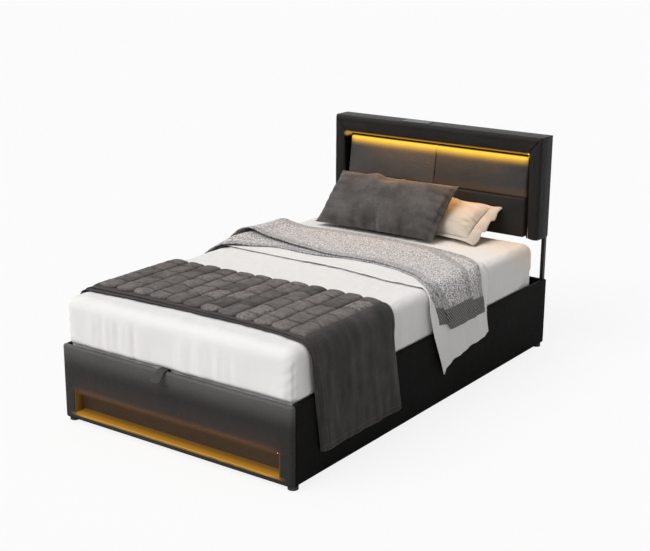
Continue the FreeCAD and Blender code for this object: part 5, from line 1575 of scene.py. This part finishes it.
def side_place(side):
    """Where a side pad's points go: it dips at the mitre and curls back at its foot."""
    def place(along_share, share, y):
        x = OUTER - (OUTER - INNER) * share
        high = UNDER + (TOP - UNDER) * (1 - share)
        z = BOTTOM + (high - BOTTOM) * along_share
        dip = GROOVE * math.exp(-((high - z) / 0.006) ** 2)
        low_part = max(CURL - (z - BOTTOM), 0)
        curl = CURL - math.sqrt(max(CURL**2 - low_part**2, 0))
        crumple = 0.0012 * noise.noise(Vector((x * 40, 0, z * 14))) * (1 if y < BACK - 0.01 else 0)
        return (side * (x - 0.35 * curl * (share < 0.3)), min(y + dip + curl + crumple, BACK), z)

    return place


def top_place(along_share, share, y):
    """Where the top pad's points go: it dips at both mitres."""
    z = TOP - (TOP - UNDER) * share
    half = OUTER - (OUTER - INNER) * share
    x = -half + 2 * half * along_share
    dip = GROOVE * math.exp(-((half - abs(x)) / 0.006) ** 2)
    crumple = 0.0012 * noise.noise(Vector((x * 14, 3, z * 40))) * (1 if y < BACK - 0.01 else 0)
    return (x, min(y + dip + crumple, BACK), z)


side_rows = np.concatenate(
    [np.linspace(0, 0.03, 9), np.linspace(0.045, 0.96, 60), np.linspace(0.968, 1, 8)]
)
top_rows = np.concatenate([np.linspace(0, 0.03, 9), np.linspace(0.045, 0.955, 80), np.linspace(0.97, 1, 9)])
border_pad("border_right", "headboard_pad_right", side_rows[::-1], side_place(1), side_profile)
border_pad("border_left", "headboard_pad_left", side_rows, side_place(-1), side_profile)
border_pad("border_top", "headboard_pad_top", top_rows, top_place, top_profile)

# %% [markdown]
# ## The pull strap
# A flat ribbon is fixed to the lift frame and comes up between the mattress and the footboard.
# It bends over the padded top, and its cut end stands out in front.

# %% Strap ribbon
strap_low, strap_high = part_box("pull_strap")
rail_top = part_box("footboard_cover")[1].z
front_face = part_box("footboard_cover")[0].y
way = [
    (strap_high.y - 0.002, strap_low.z + 0.002), (strap_high.y - 0.002, rail_top - 0.05),
    (strap_high.y - 0.003, rail_top + 0.001), (strap_high.y - 0.012, rail_top + 0.0045),
    (front_face + 0.02, rail_top + 0.0035), (front_face + 0.004, rail_top + 0.0015),
    (front_face - 0.007, rail_top - 0.009), (front_face - 0.022, rail_top - 0.024),
    (strap_low.y + 0.001, rail_top - 0.036),
]
ribbon_curve = np.array(way)
run = np.concatenate([[0], np.cumsum(np.hypot(*np.diff(ribbon_curve, axis=0).T))])
fine = np.linspace(0, run[-1], 70)
ribbon_y = np.interp(fine, run, ribbon_curve[:, 0])
ribbon_z = np.interp(fine, run, ribbon_curve[:, 1])
for _ in range(4):
    ribbon_y[1:-1] = (ribbon_y[:-2] + 2 * ribbon_y[1:-1] + ribbon_y[2:]) / 4
    ribbon_z[1:-1] = (ribbon_z[:-2] + 2 * ribbon_z[1:-1] + ribbon_z[2:]) / 4
wide = np.linspace(-1, 1, 9)
centre = (strap_low.x + strap_high.x) / 2
half_width = (strap_high.x - strap_low.x) / 2
ribbon = []
for t, y, z in zip(fine / run[-1], ribbon_y, ribbon_z):
    flare = 0.004 * max(0, t - 0.8) * 5
    cup = max(0, t - 0.85) * 6
    ribbon.append(
        [(centre + half_width * w + flare * w, y - 0.002 * (1 - w * w) * cup, z) for w in wide]
    )
strap = piece("pull_ribbon", ribbon, grid_faces(len(fine), len(wide)), webbing, "platform")
strap_shell = strap.modifiers.new("thickness", "SOLIDIFY")
strap_shell.thickness = 0.0018
strap_shell.offset = 0
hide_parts("pull_strap")
print("strap length", round(run[-1], 3))

# %% [markdown]
# ## Floor and light
# The floor and the world are pale. Large soft lamps stand to the front left and above, so the
# right side stays in shade, and the bed's own light strips do the rest.

# %% Floor
floor_finish = Finish("studio_floor", (0.75, 0.75, 0.75), 0.9, specular_ior_level=0.0)
bare = floor_finish.node("ShaderNodeLightPath", {}, {}, "Is Camera Ray")
shine = floor_finish.node("ShaderNodeEmission", {}, {"Color": (1, 1, 1, 1), "Strength": 1.0}, "Emission")
matte = Flow(floor_finish, floor_finish.shader.outputs[0])
both_looks = floor_finish.node("ShaderNodeMixShader", {}, {0: bare * 0.86, 1: matte, 2: shine}, "Shader")
floor_finish.tree.links.new(both_looks.end, floor_finish.tree.nodes["Material Output"].inputs["Surface"])
floor_mesh = bpy.data.meshes.new("studio_floor")
reach = 30
floor_corners = [(-reach, -reach, 0), (reach, -reach, 0), (reach, reach, 0), (-reach, reach, 0)]
floor_mesh.from_pydata(floor_corners, [], [(0, 1, 2, 3)])
floor_mesh.materials.append(floor_finish.material)
floor = bpy.data.objects.new("studio_floor", floor_mesh)
scene.collection.objects.link(floor)

# %% World
world = bpy.data.worlds.new("studio")
scene.world = world
world.use_nodes = True
tree = world.node_tree
tree.nodes.clear()


def backdrop(colour, strength):
    """An even background of one colour."""
    item = tree.nodes.new("ShaderNodeBackground")
    item.inputs["Color"].default_value = (*colour, 1)
    item.inputs["Strength"].default_value = strength
    return item


def added(first, second):
    """Two numbers added, at most 1."""
    item = tree.nodes.new("ShaderNodeMath")
    item.operation = "ADD"
    item.use_clamp = True
    tree.links.new(first, item.inputs[0])
    tree.links.new(second, item.inputs[1])
    return item.outputs[0]


room = backdrop((0.97, 0.98, 1.0), 0.27)
pale = backdrop((1, 1, 1), 1.0)
rays = tree.nodes.new("ShaderNodeLightPath").outputs
direct = added(added(rays["Is Camera Ray"], rays["Is Glossy Ray"]), rays["Is Transmission Ray"])
both = tree.nodes.new("ShaderNodeMixShader")
tree.links.new(direct, both.inputs[0])
tree.links.new(room.outputs[0], both.inputs[1])
tree.links.new(pale.outputs[0], both.inputs[2])
out = tree.nodes.new("ShaderNodeOutputWorld")
tree.links.new(both.outputs[0], out.inputs["Surface"])


# %% Lamps
def sun(name, place, spread, power, tint):
    """A lamp far away, seen from the bed in the direction of place, as wide as spread degrees."""
    light = bpy.data.lights.new(name, "SUN")
    light.angle = math.radians(spread)
    light.energy = power
    light.color = tint
    item = bpy.data.objects.new(name, light)
    scene.collection.objects.link(item)
    item.rotation_mode = "QUATERNION"
    item.rotation_quaternion = (-Vector(place)).to_track_quat("-Z", "Y")


sun("key", (-1.3, -3.0, 3.4), 45, 2.25, (1.0, 0.99, 0.98))
sun("top", (-1.2, 0.4, 4.0), 70, 0.80, (1.0, 1.0, 1.0))

strip = bpy.data.lights.new("headboard_strip", "AREA")
strip.shape = "RECTANGLE"
strip.size = 0.80
strip.size_y = 0.012
strip.energy = 1.5
strip.color = (1.0, 0.43, 0.05)
strip_lamp = bpy.data.objects.new("headboard_strip", strip)
scene.collection.objects.link(strip_lamp)
strip_lamp.location = (0, FRONT + 0.004, UNDER - 0.012)
strip_lamp.rotation_euler = (math.radians(-24), 0, 0)
scene.view_settings.view_transform = "Standard"
